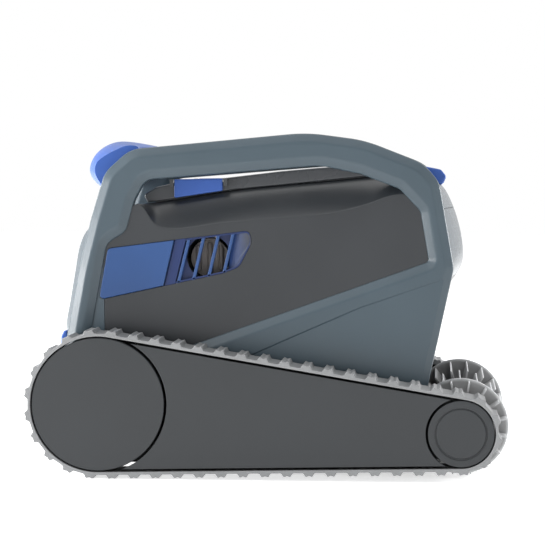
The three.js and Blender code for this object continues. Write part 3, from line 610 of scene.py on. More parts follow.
def weave_group() -> bpy.types.NodeTree:
    """Square mesh screen: threads where either of two waves along the surface's own directions is high."""
    group = new_group("screen_weave", {"Pitch": 0.0022, "Thread": 0.45}, ("Thread",))
    source = group.nodes["in"].outputs
    place = add_node(group, "ShaderNodeTexCoord")
    split = add_node(group, "ShaderNodeSeparateXYZ")
    group.links.new(place.outputs["Object"], split.inputs["Vector"])
    rate = sums(group, "DIVIDE", math.pi, source["Pitch"])
    across = sums(group, "ADD", split.outputs["X"], split.outputs["Y"])
    level = sums(group, "ABSOLUTE", sums(group, "COSINE", sums(group, "MULTIPLY", across, rate)))
    rising = sums(group, "ABSOLUTE", sums(group, "COSINE", sums(group, "MULTIPLY", split.outputs["Z"], rate)))
    both = sums(group, "MAXIMUM", level, rising)
    limit = sums(group, "SUBTRACT", 1.0, source["Thread"])
    feed(group, group.nodes["out"].inputs["Thread"], ramp(group, both, limit, 1.0))
    return group


EFFECTS = {
    "grain": grain_group(),
    "edge": painted_edge_highlight_group(),
    "film": film_group(),
    "weave": weave_group(),
}


# ---------------------------------------------------------------- finishes


@dataclass(frozen=True)
class Finish:
    """A moulded, dipped or turned finish.

    Attributes:
        label: the material's name.
        slot: the record's material slot; not used.
        colour: linear red, green and blue.
        roughness: middle of the roughness.
        roughness_swing: how far mottling moves it.
        mottle: how far mottling darkens the colour.
        grain: bump strength of the moulded grain.
        grain_scale: grain texture scale.
        edge_highlight_colour: painted highlight colour that edges go to.
        edge_highlight_amount: how strongly the painted edge highlight shows.
        edge_radius: reach of the painted edge highlight, in metres.
        film: cover of the dried water film.
        metallic: 0 or 1.
        coat: clear coat weight.
        painted_light_and_shade_colour: colour at the attribute tip = 1, if the finish has one; painted highlight on
            the brush, painted shade on the jet ramp.
        specular: specular level.
    """

    label: str
    slot: str
    colour: tuple[float, float, float]
    roughness: float = 0.45
    roughness_swing: float = 0.08
    mottle: float = 0.1
    grain: float = 0.08
    grain_scale: float = 900.0
    edge_highlight_colour: tuple[float, float, float] = (0.3, 0.33, 0.35)
    edge_highlight_amount: float = 0.25
    edge_radius: float = 0.0012
    film: float = 0.1
    metallic: float = 0.0
    coat: float = 0.0
    painted_light_and_shade_colour: Optional[tuple[float, float, float]] = None
    specular: float = 0.5

    def effect(self, tree: bpy.types.NodeTree, kind: str, **values: float) -> bpy.types.Node:
        """One shared effect, placed in this material with its own values."""
        node = add_node(tree, "ShaderNodeGroup", node_tree=EFFECTS[kind])
        for label, value in values.items():
            node.inputs[label.replace("_", " ").title()].default_value = value
        return node

    def blended(self, tree: bpy.types.NodeTree, share: Socket, low: object, high: object) -> Socket:
        """Colour from low to high by a varying share."""
        node = add_node(tree, "ShaderNodeMix", data_type="RGBA")
        feed(tree, node.inputs[0], share)
        for socket, colour in ((node.inputs[6], low), (node.inputs[7], high)):
            feed(tree, socket, colour if isinstance(colour, bpy.types.NodeSocket) else (*colour, 1.0))
        return node.outputs[2]

    def material(self) -> bpy.types.Material:
        """The material, made once for each label."""
        name = f"{self.label}_finish"
        found = bpy.data.materials.get(name)
        if found is not None:
            return found
        made = bpy.data.materials.new(name)
        made.use_nodes = True
        tree = made.node_tree
        shader = tree.nodes["Principled BSDF"]
        grain = self.effect(tree, "grain", grain_scale=self.grain_scale, mottle_scale=14.0)
        darker = tuple(part * (1 - self.mottle) for part in self.colour)
        lighter = tuple(min(1.0, part * (1 + self.mottle)) for part in self.colour)
        colour = self.blended(tree, grain.outputs["Mottle"], darker, lighter)
        # Painted light and shade: the tip attribute mixes the colour towards painted_light_and_shade_colour.
        if self.painted_light_and_shade_colour is not None:
            tip = add_node(tree, "ShaderNodeAttribute", attribute_name="tip")
            colour = self.blended(tree, tip.outputs["Fac"], colour, self.painted_light_and_shade_colour)
        # Painted highlight: edges lighten towards edge_highlight_colour by edge_highlight_amount.
        edge = self.effect(tree, "edge", radius=self.edge_radius, breakup=0.5)
        share = sums(tree, "MULTIPLY", edge.outputs["Mask"], self.edge_highlight_amount)
        colour = self.blended(tree, share, colour, self.edge_highlight_colour)
        film = self.effect(tree, "film", cover=self.film)
        dried = tuple(min(1.0, part * 1.5 + 0.12) for part in self.colour)
        colour = self.blended(tree, film.outputs["Mask"], colour, dried)
        feed(tree, shader.inputs["Base Color"], colour)
        swing = sums(tree, "MULTIPLY_ADD", grain.outputs["Mottle"], 2 * self.roughness_swing)
        swing.node.inputs[2].default_value = self.roughness - self.roughness_swing
        dulled = sums(tree, "ADD", swing, sums(tree, "MULTIPLY", film.outputs["Mask"], 0.25), clamp=True)
        feed(tree, shader.inputs["Roughness"], dulled)
        shader.inputs["Metallic"].default_value = self.metallic
        shader.inputs["Coat Weight"].default_value = self.coat
        shader.inputs["Coat Roughness"].default_value = 0.12
        shader.inputs["Specular IOR Level"].default_value = self.specular
        bump = add_node(tree, "ShaderNodeBump")
        bump.inputs["Strength"].default_value = self.grain
        bump.inputs["Distance"].default_value = 0.0004
        feed(tree, bump.inputs["Height"], grain.outputs["Height"])
        feed(tree, shader.inputs["Normal"], bump.outputs["Normal"])
        self.extra(tree, shader)
        return made

    def extra(self, tree: bpy.types.NodeTree, shader: bpy.types.Node) -> None:
        """Nothing more on a plain finish."""


@dataclass(frozen=True)
class ScreenFinish(Finish):
    """Filter screen: a square weave of threads with open holes between them."""

    def extra(self, tree: bpy.types.NodeTree, shader: bpy.types.Node) -> None:
        """Threads in the colour and the bump, and holes in the alpha."""
        weave = self.effect(tree, "weave", pitch=0.0022, thread=0.5)
        opened = sums(tree, "MULTIPLY_ADD", weave.outputs["Thread"], 0.75, clamp=True)
        opened.node.inputs[2].default_value = 0.25
        feed(tree, shader.inputs["Alpha"], opened)


TEAL = Finish("teal_plastic", "teal_plastic", (0.050, 0.074, 0.092), 0.32, 0.04, 0.04, 0.05, 700.0,
              (0.09, 0.12, 0.14), 0.14, 0.0010, 0.01)
# Lighter copy of the teal plastic for the front fascia and visor: its coat and lower roughness are the finish, its
# lighter colour and paler edges are painted highlight.
TEAL_PAINTED_HIGHLIGHT = Finish("teal_painted_highlight_plastic", "teal_plastic", (0.085, 0.105, 0.122), 0.26, 0.04, 0.04, 0.03, 700.0,
                    (0.30, 0.36, 0.40), 0.2, 0.0010, 0.01, coat=0.2)
CHARCOAL = Finish("charcoal_plastic", "charcoal_plastic", (0.0215, 0.0245, 0.0275), 0.46, 0.05, 0.05, 0.07, 900.0,
                  (0.12, 0.13, 0.14), 0.18, 0.0008, 0.01)
BODY = Finish("charcoal_shell_plastic", "charcoal_plastic", (0.0245, 0.0275, 0.0315), 0.34, 0.04, 0.05, 0.04, 900.0,
              (0.10, 0.11, 0.12), 0.15, 0.0008, 0.0)
SLATE = Finish("slate_plastic", "slate_plastic", (0.048, 0.052, 0.058), 0.30, 0.05, 0.06, 0.04, 900.0,
               (0.16, 0.18, 0.20), 0.2, 0.0010, 0.06)
BLUE = Finish("blue_plastic", "blue_plastic", (0.014, 0.058, 0.190), 0.36, 0.05, 0.06, 0.06, 800.0,
              (0.12, 0.22, 0.48), 0.2, 0.0008, 0.01)
# Lighter copy of the blue plastic for the grip, trims and latches: painted highlight.
BLUE_PAINTED_HIGHLIGHT = Finish("blue_painted_highlight_plastic", "blue_plastic", (0.032, 0.095, 0.360), 0.36, 0.04, 0.05, 0.03, 800.0,
                    (0.25, 0.40, 0.75), 0.2, 0.0012, 0.01, specular=0.4)
# Darker copy of the blue plastic: painted shade on the set-back step, rim, walls and back wall of the jet pocket.
BLUE_PAINTED_SHADE = Finish("blue_painted_shade_plastic", "blue_plastic", (0.003, 0.018, 0.095), 0.40, 0.05, 0.06, 0.05, 800.0,
                   (0.06, 0.12, 0.30), 0.2, 0.0008, 0.0)
# Blue that fades into the body's charcoal along the tip attribute: painted shade at the end of the jet pocket.
BLUE_FADING_INTO_PAINTED_SHADE = Finish("blue_fading_painted_shade_plastic", "blue_plastic",
                      (0.022, 0.060, 0.210), 0.38, 0.05, 0.05, 0.05, 800.0,
                      (0.10, 0.14, 0.24), 0.15, 0.0008, 0.0, painted_light_and_shade_colour=BODY.colour)
BLACK = Finish("black_plastic", "black_plastic", (0.014, 0.015, 0.016), 0.5, 0.08, 0.10, 0.15, 800.0,
               (0.10, 0.10, 0.11), 0.25, 0.0008, 0.08)
GREY = Finish("grey_flap_rubber", "soft_rubber", (0.150, 0.136, 0.130), 0.5, 0.06, 0.08, 0.12, 800.0,
              (0.34, 0.31, 0.30), 0.3, 0.0008, 0.05)
WHITE = Finish("white_plastic", "white_plastic", (0.62, 0.64, 0.65), 0.42, 0.06, 0.04, 0.08, 800.0,
               (0.8, 0.8, 0.8), 0.2, 0.0010, 0.15)
SOFT = Finish("soft_flap_rubber", "soft_rubber", (0.020, 0.021, 0.022), 0.6, 0.08, 0.10, 0.2, 600.0,
              (0.09, 0.09, 0.10), 0.2, 0.0008, 0.10)
STEEL = Finish("brushed_steel", "steel", (0.52, 0.53, 0.54), 0.3, 0.08, 0.05, 0.1, 1500.0,
               (0.8, 0.8, 0.8), 0.3, 0.0006, 0.05, metallic=1.0)
BELT = Finish("belt_rubber", "belt_rubber", (0.220, 0.225, 0.230), 0.60, 0.06, 0.08, 0.25, 500.0,
              (0.55, 0.56, 0.57), 0.40, 0.0010, 0.08)
# The pale painted_light_and_shade_colour paints highlight on vane tips and disc rims.
BRUSH = Finish("brush_rubber", "brush_rubber", (0.320, 0.322, 0.325), 0.58, 0.06, 0.08, 0.20, 600.0,
               (0.58, 0.59, 0.60), 0.45, 0.0010, 0.05, painted_light_and_shade_colour=(0.62, 0.63, 0.64))
SCREEN = ScreenFinish("screen_mesh", "screen_mesh", (0.030, 0.032, 0.035), 0.55, 0.06, 0.10, 0.2, 600.0,
                      (0.12, 0.12, 0.13), 0.2, 0.0006, 0.05)


# ---------------------------------------------------------------- making pieces


def add_piece(
    name: str,
    form: Form,
    finish: Finish,
    body: str,
    replaces: Sequence[str] = (),
    sharp_above: float = 28.0,
    bevel: float = 0.0,
    tip: Optional[Array] = None,
) -> bpy.types.Object:
    """Put a form into the scene as a finished piece.

    Args:
        name: the piece's name.
        form: its surface in level millimetres.
        finish: its finish.
        body: the body that it rides on.
        replaces: the design nodes that it stands for.
        sharp_above: angle in degrees past which an edge is drawn sharp.
        bevel: width in millimetres of a bevel on sharp edges, or 0.
        tip: the tip attribute's value at each point, if the finish uses one; the share of painted highlight on brush
            pieces and of painted shade on the jet ramp.

    Returns:
        The piece.
    """
    if tip is None:
        mesh = form.mesh(name)
    else:
        mesh = bpy.data.meshes.new(name)
        mesh.from_pydata(form.points.tolist(), [], form.faces)
        layer = mesh.attributes.new("tip", "FLOAT", "POINT")
        layer.data.foreach_set("value", tip.astype(np.float32))
    points = np.empty(len(mesh.vertices) * 3)
    mesh.vertices.foreach_get("co", points)
    mesh.vertices.foreach_set("co", STANCE.carry(points.reshape(-1, 3)).ravel())
    mesh.shade_smooth()
    mesh.set_sharp_from_angle(angle=math.radians(sharp_above))
    mesh.update()
    mesh.materials.append(finish.material())
    piece = bpy.data.objects.new(name, mesh)
    bpy.context.scene.collection.objects.link(piece)
    if bevel:
        soften(piece, bevel)
    weighted = piece.modifiers.new("weighted_normals", "WEIGHTED_NORMAL")
    weighted.keep_sharp = True
    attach(piece, body)
    if replaces:
        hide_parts(*replaces)
    LOG.info("%s: %d points on %s", name, len(mesh.vertices), body)
    return piece


def soften(piece: bpy.types.Object, width: float, segments: int = 2) -> None:
    """Bevel sharp edges by a width in millimetres and weight the normals."""
    modifier = piece.modifiers.new("eased_edges", "BEVEL")
    modifier.width = width * MM
    modifier.segments = segments
    modifier.limit_method = "ANGLE"
    modifier.angle_limit = math.radians(35)
    modifier.use_clamp_overlap = True
    modifier.harden_normals = True


def dress(node: str, finish: Finish, bevel: float = 0.5) -> None:
    """Give a design node a finish and eased edges.

    Args:
        node: the design node's name.
        finish: its finish.
        bevel: width of the eased edges in millimetres, or 0.
    """
    piece = frame["nodes"][node]
    if not piece.material_slots:
        piece.data.materials.append(None)
    for place in piece.material_slots:
        place.material = finish.material()
    if bevel:
        weld = piece.modifiers.new("weld", "WELD")
        weld.merge_threshold = 0.00001
        soften(piece, bevel)
    LOG.info("%s: design node dressed in %s", node, finish.label)


# ---------------------------------------------------------------- hull


@dataclass
class Hull:
    """Moulded body shell with its rear and front fascias, trims and cable gland.

    Each station is ((x, z) at the side walls, (x, z) on the centre line, whether it rises over the shoulder).
    """

    stations: tuple = (
        ((-170, 86), (-191, 86), False), ((-179, 108), (-198, 106), False), ((-178, 124), (-198, 124), False),
        ((-177.5, 127), (-201, 127), False), ((-173.5, 153), (-196.4, 155), False),
        ((-168.5, 179), (-191.8, 180), False), ((-164, 203), (-186.5, 205), False),
        ((-159, 213), (-179.5, 218.5), False), ((-148, 215.5), (-162, 229), True),
        ((-118, 243), (-116, 242), True), ((-99, 221.8), (-99, 244.3), True), ((-38, 224.8), (-32, 253.5), True),
        ((18, 228.5), (28, 258.5), True), ((56, 231.5), (60, 261.2), True), ((85, 238), (88, 263.5), True),
        ((116, 247.5), (112, 265), True), ((142, 246), (142, 261), True), ((148, 243), (156, 255), False),
        ((152.5, 234), (167.3, 234), False), ((157.5, 203), (175, 203), False), ((159.5, 184), (175.4, 184), False),
        ((160, 176), (172, 174.5), False), ((157, 160), (162, 160), False), ((150, 114), (152.5, 114), False),
        ((143, 86), (144.5, 86), False),
    )
    split_rear: float = -150.0
    split_front: float = 148.0
    seam_height: float = 234.0
    floor: float = 86.0
    edge_radius: float = 0.8
    shoulder_ease: float = 0.22
    window: tuple = (
        (-155.4, 156, 5), (-146.2, 203.2, 5), (-17, 217.4, 7), (-15, 206, 9), (-27, 184, 12), (-42, 178.6, 4),
    )
    gland: tuple = (121.0, 60.0)
    shell: Form = field(init=False)

    def __post_init__(self) -> None:
        """Work out the hollow shell that the pieces are cut from."""
        self.shell = self.solid(0.0).cut(self.solid(-MACHINE.wall), self.bottom_opening())

    def rings(self, y: Array, growth: Array) -> Array:
        """Side profile at each Y, smooth through the stations.

        A station's place runs from its edge to its middle by the bow 1 - (y / half body)^2. A top station's height
        runs by the shoulder's rise instead, which climbs evenly from the wall and eases into the flat roof.

        Args:
            y: places (m,).
            growth: how much larger all round each profile is (m,).

        Returns:
            Points (m, n, 2).
        """
        edge = np.array([station[0] for station in self.stations], float)
        middle = np.array([station[1] for station in self.stations], float)
        top = np.array([station[2] for station in self.stations])
        bow = (1 - (y / MACHINE.half_body) ** 2)[:, None]
        climb = (MACHINE.half_body - np.abs(y)) / MACHINE.shoulder_width
        ease = self.shoulder_ease
        eased = climb - np.clip(climb - 1 + ease, 0, 2 * ease) ** 2 / (4 * ease)
        rise = np.where(climb > 1 + ease, 1.0, eased)[:, None]
        x = edge[:, 0] + (middle[:, 0] - edge[:, 0]) * bow
        z = edge[:, 1] + (middle[:, 1] - edge[:, 1]) * np.where(top, rise, bow)
        profile = spline(np.stack([x, z], axis=-1), 6, closed=False)
        return grown(profile, growth)

    def solid(self, growth: float) -> Form:
        """The body's outer form, larger or smaller all round by `growth`, with its side edges rounded."""
        reach = MACHINE.half_body + growth
        round_off = round_edge(self.edge_radius)
        shoulder = np.linspace(MACHINE.half_body - 3.0, MACHINE.half_body - 1.4 * MACHINE.shoulder_width, 14)
        middle = np.linspace(shoulder[-1] - 6.0, 0.0, 14)
        outer = np.concatenate([reach - round_off[:, 1], shoulder, middle])
        inset = np.concatenate([-round_off[:, 0], np.zeros(len(shoulder) + len(middle))])
        y = np.concatenate([-outer, outer[-2::-1]])
        amount = np.concatenate([inset, inset[-2::-1]]) + growth
        clamped = np.clip(y, -MACHINE.half_body, MACHINE.half_body)
        rings = self.rings(clamped, amount)
        places = np.broadcast_to(y[:, None], rings.shape[:2])
        return capped(np.stack([rings[..., 0], places, rings[..., 1]], axis=-1))

    def bottom_opening(self) -> Form:
        """The space that opens the shell downwards."""
        inner = MACHINE.half_body - MACHINE.wall
        return block((-166, -inner, self.floor - 5), (139, inner, self.floor + 12))

    def window_tool(self) -> Form:
        """What cuts the right-hand side window."""
        reach = MACHINE.half_body
        return plate(rounded(self.window), -reach - 5, -reach + MACHINE.wall + 5)

    def build_shell(self) -> None:
        """Main shell: lid opening, side windows, cable hole and two hinge lugs."""
        window = self.window_tool()
        gap = MACHINE.gap / 2
        lug = plate(rounded([(97, 261), (97, 275.4, 5), (111, 275.4, 5), (111, 261)]), -110, -101,
                    low_edge=round_edge(0.8), high_edge=round_edge(0.8))
        main = self.shell.cut(
            window, window.mirrored(),
            block((-107, -116, 230), (92, 116, 290)),
            block((-260, -200, 0), (self.split_rear + gap, 200, 300)),
            block((self.split_front - gap, -200, 171.8), (260, 200, 300)),
            upright(7.2, 250, 280, self.gland),
        )
        add_piece("hull_shell_moulding", main.plus(lug, lug.mirrored()), BODY, "chassis", ["hull_shell"])

    def build_fascias(self) -> None:
        """Rear fascia, front fascia and front visor, each cut from the shell with a fine seam."""
        gap = MACHINE.gap / 2
        window = self.window_tool()
        rear = self.shell.within(block((-260, -200, 0), (self.split_rear - gap, 200, 300)))
        rear = rear.cut(window, window.mirrored())
        front = self.shell.within(block((self.split_front + gap, -200, self.seam_height + gap), (260, 200, 300)))
        visor = self.shell.within(block((self.split_front + gap, -200, 172), (260, 200, self.seam_height - gap)))
        add_piece("rear_fascia_moulding", rear, TEAL, "chassis", ["rear_fascia"])
        add_piece("front_fascia_moulding", front, TEAL_PAINTED_HIGHLIGHT, "chassis", ["front_fascia"])
        add_piece("front_visor_moulding", visor, TEAL_PAINTED_HIGHLIGHT, "chassis", ["front_visor"])

    def build_trims(self) -> None:
        """Blue trim strips across the rear and the front edge."""
        rear = rounded([(-205.4, 107.5, 2), (-204.8, 118, 3), (-201.8, 123, 2), (-198.6, 123), (-198.6, 107.5)], 8)
        front = rounded([(133, 262.3), (134, 268, 3), (142, 272.5, 5), (156, 269.5, 5), (161, 263, 4),
                         (158.5, 257.5, 2), (156.3, 255.6), (142, 261.6)], 8)
        soft = round_edge(1.6)
        add_piece("rear_trim_strip", plate(rear, -46, 46, (), soft, soft), BLUE_PAINTED_HIGHLIGHT, "chassis", ["rear_trim"])
        add_piece("front_trim_strip", plate(front, -118, 118, (), soft, soft), BLUE_PAINTED_HIGHLIGHT, "chassis", ["front_trim"])

    def build(self) -> None:
        """Build every piece of the hull."""
        self.build_shell()
        self.build_fascias()
        self.build_trims()
        dress("cable_gland", BLACK, 0.4)
        dress("hull_tub", BLACK, 0.8)


# ---------------------------------------------------------------- side frames and grip


@dataclass
class SideFrames:
    """Arches with their legs and lower panels, one on each side, and the grip between them."""

    corners: tuple = (
        (-172, 66, 12), (-187.5, 110, 30), (-172.5, 186, 80), (-160.5, 231, 60), (-147.5, 272, 30), (-124, 292.2, 30),
        (36, 304.6, 150), (88, 296.8, 120), (140, 275.5, 40), (154.5, 258, 24), (166.6, 181, 22), (139.5, 66, 12),
    )
    window: tuple = (
        (143.9, 186.8, 4), (137, 232, 9), (118.5, 252.6, 14), (84, 266.4, 30), (48, 274.7, 60), (-111, 264.4, 15),
        (-121, 246, 20), (-129, 218, 13), (-146.8, 207, 14), (-167, 103, 12), (-112, 100.5, 14),
    )
    chamfer: float = 8.0
    chamfer_depth: float = 4.0
    arch_foot: float = 222.0
    panel_foot: float = 77.0
    panel_line: tuple = ((172, 178.4), (160.9, 174.2), (151.9, 171.7), (81.6, 148.9), (16.4, 121.8), (-30, 102))
    panel_step: float = 0.7
    panel_slope: float = 3.0
    grip_middle: tuple = (
        (-164.5, 262), (-172, 268.5), (-173.3, 277), (-168.5, 288), (-159.5, 296.5), (-147.5, 300.8), (-134, 299.5),
        (-124, 295.8), (-126.5, 289.5), (-137, 289), (-147.5, 285), (-155.5, 278), (-159.5, 270.5), (-159.3, 263.5),
    )
    grip_end: tuple = (
        (-150, 257), (-155, 263.5), (-158.5, 271), (-157.5, 280), (-150, 286.5), (-140.5, 291.5), (-128.5, 295.8),
        (-119, 294.3), (-117.5, 286.5), (-127.5, 283.5), (-137, 276.5), (-143, 269), (-145.5, 262.5), (-146.5, 257.5),
    )

    def build(self, hull: Hull) -> None:
        """Build both side frames, fitted round the hull, and the grip."""
        edge = soft_chamfer(self.chamfer, self.chamfer_depth, 1.6)
        whole = plate(
            rounded(self.corners, 24), -MACHINE.frame_outer_face, -MACHINE.arch_inner_face,
            [rounded(self.window, 18)], edge, edge,
        )
        whole = whole.combined(Cutting.REMOVE, self.panel_recess(), solver="FAST")
        inside = block((-240, -MACHINE.half_body - MACHINE.gap, 0), (240, -100, self.arch_foot))
        below = block((-240, -170, 0), (240, -100, self.panel_foot))
        right = whole.cut(inside, below, hull.solid(MACHINE.gap))
        for side in Side:
            node = f"side_frame_{side.word}"
            add_piece(f"{node}_moulding", right.on(side), TEAL, "chassis", [node], sharp_above=14)
        self.build_grip()

    def panel_recess(self) -> Form:
        """What sets the lower panel back under the arch, with a sloping upper side."""
        outline = np.array([*self.panel_line, (-60, 40), (200, 40)], float)
        face = -MACHINE.frame_outer_face
        slope = np.array([(self.panel_slope, 0.0), (0.0, self.panel_step + 1.0)])
        return plate(outline, face - 1.0, face + self.panel_step, (), SHARP, slope)

    def build_grip(self) -> None:
        """Grip: closed rings smooth through its stations, from end shape to middle shape by 1 - |share|^3."""
        reach = MACHINE.arch_inner_face - MACHINE.gap
        share = np.linspace(-1.0, 1.0, 65)[:, None, None]
        bulge = 1 - np.abs(share) ** 3
        end = np.array(self.grip_end, float)
        middle = np.array(self.grip_middle, float)
        rings = spline(end + (middle - end) * bulge, 6, closed=True)
        places = np.broadcast_to(share[..., 0] * reach, rings.shape[:2])
        form = capped(np.stack([rings[..., 0], places, rings[..., 1]], axis=-1))
        add_piece("grip_moulding", form, BLUE_PAINTED_HIGHLIGHT, "chassis", ["grip"])


# ---------------------------------------------------------------- lid


@dataclass
class Lid:
    """Hinged lid with its skirt, barrel and ears, and a rocking latch on each side."""

    profile: tuple = (
        (-112, 243.6, 2), (-116, 251, 5), (-104, 257.5, 8), (-90, 260.6, 40), (-42, 264.8, 200), (10, 270.2, 200),
        (50, 273.2, 200), (85, 273.4, 60), (101, 272.5, 3), (101, 268, 2), (94, 264.6), (88, 264.2), (60, 261.8),
        (28, 259), (-32, 254.1), (-99, 244.9),
    )
    half_width: float = 120.0
    shell: float = 3.0
    hinge: tuple = (104.0, 270.0)
    hinge_radius: float = 5.2
    latch_start: float = -87.0
    latch_end: float = -42.5
    latch_pin: tuple = (123.75, 262.0)

    def build(self) -> None:
        """Build the lid and both latches."""
        edge = round_edge(1.8, 6)
        cap = plate(rounded(self.profile), -self.half_width, self.half_width, (), edge, edge)
        inside = [(x * 0.965 - 1, z - self.shell) for x, z, *_ in self.profile[2:15]] + [(-101, 236)]
        hollow = plate(np.array(inside, float), -self.half_width + self.shell, self.half_width - self.shell)
        notch = block((96.4, -125, 255), (120, -100.5, 285))
        cover = cap.cut(hollow, notch, notch.mirrored())
        parts = [self.barrel(), self.skirt()]
        for x in (self.latch_start - 4, self.latch_end + 0.6):
            ear = self.ear(x)
            parts += [ear, ear.mirrored()]
        add_piece("lid_moulding", cover.plus(*parts), SLATE, "lid", ["lid"])
        outline = rounded([
            (self.latch_start, 247.4, 1.5), (self.latch_end, 253.4, 1.5), (self.latch_end, 264.5, 1.5),
            (self.latch_start, 264.5, 1.5),
        ], 6)
        latch = plate(outline, -126, -121.5, (), round_edge(1.3), round_edge(0.5))
        for side in Side:
            node = f"lid_latch_{side.word}"
            add_piece(f"{node}_moulding", latch.on(side), BLUE_PAINTED_HIGHLIGHT, node, [node])
            dress(f"latch_pin_{side.word}", STEEL, 0.0)
        dress("lid_hinge_pin", STEEL, 0.0)

    def barrel(self) -> Form:
        """Hinge barrel with its bore."""
        bore = 2.4
        reach = 100.5
        profile = [(bore, -reach), (self.hinge_radius, -reach), (self.hinge_radius, reach), (bore, reach)]
        return turned(profile, self.hinge, 48)

    def skirt(self) -> Form:
        """Skirt that drops into the lid opening."""
        outer = np.array([(-105, 250), (-105, 240.5), (-32, 247), (88, 256), (88, 268), (10, 266), (-40, 260)], float)
        inner = grown(outer, 20.0)
        inner[:, 0] = np.clip(inner[:, 0], -102.6, 85.6)
        return plate(outer, -115.4, 115.4).cut(plate(inner, -113, 113))

    def ear(self, x: float) -> Form:
        """Ear that carries one end of the right-hand latch pin."""
        _, height = self.latch_pin
        return block((x, -126, height - 4), (x + 3.4, -self.half_width + 1, height + 2.4))


# ---------------------------------------------------------------- side jets


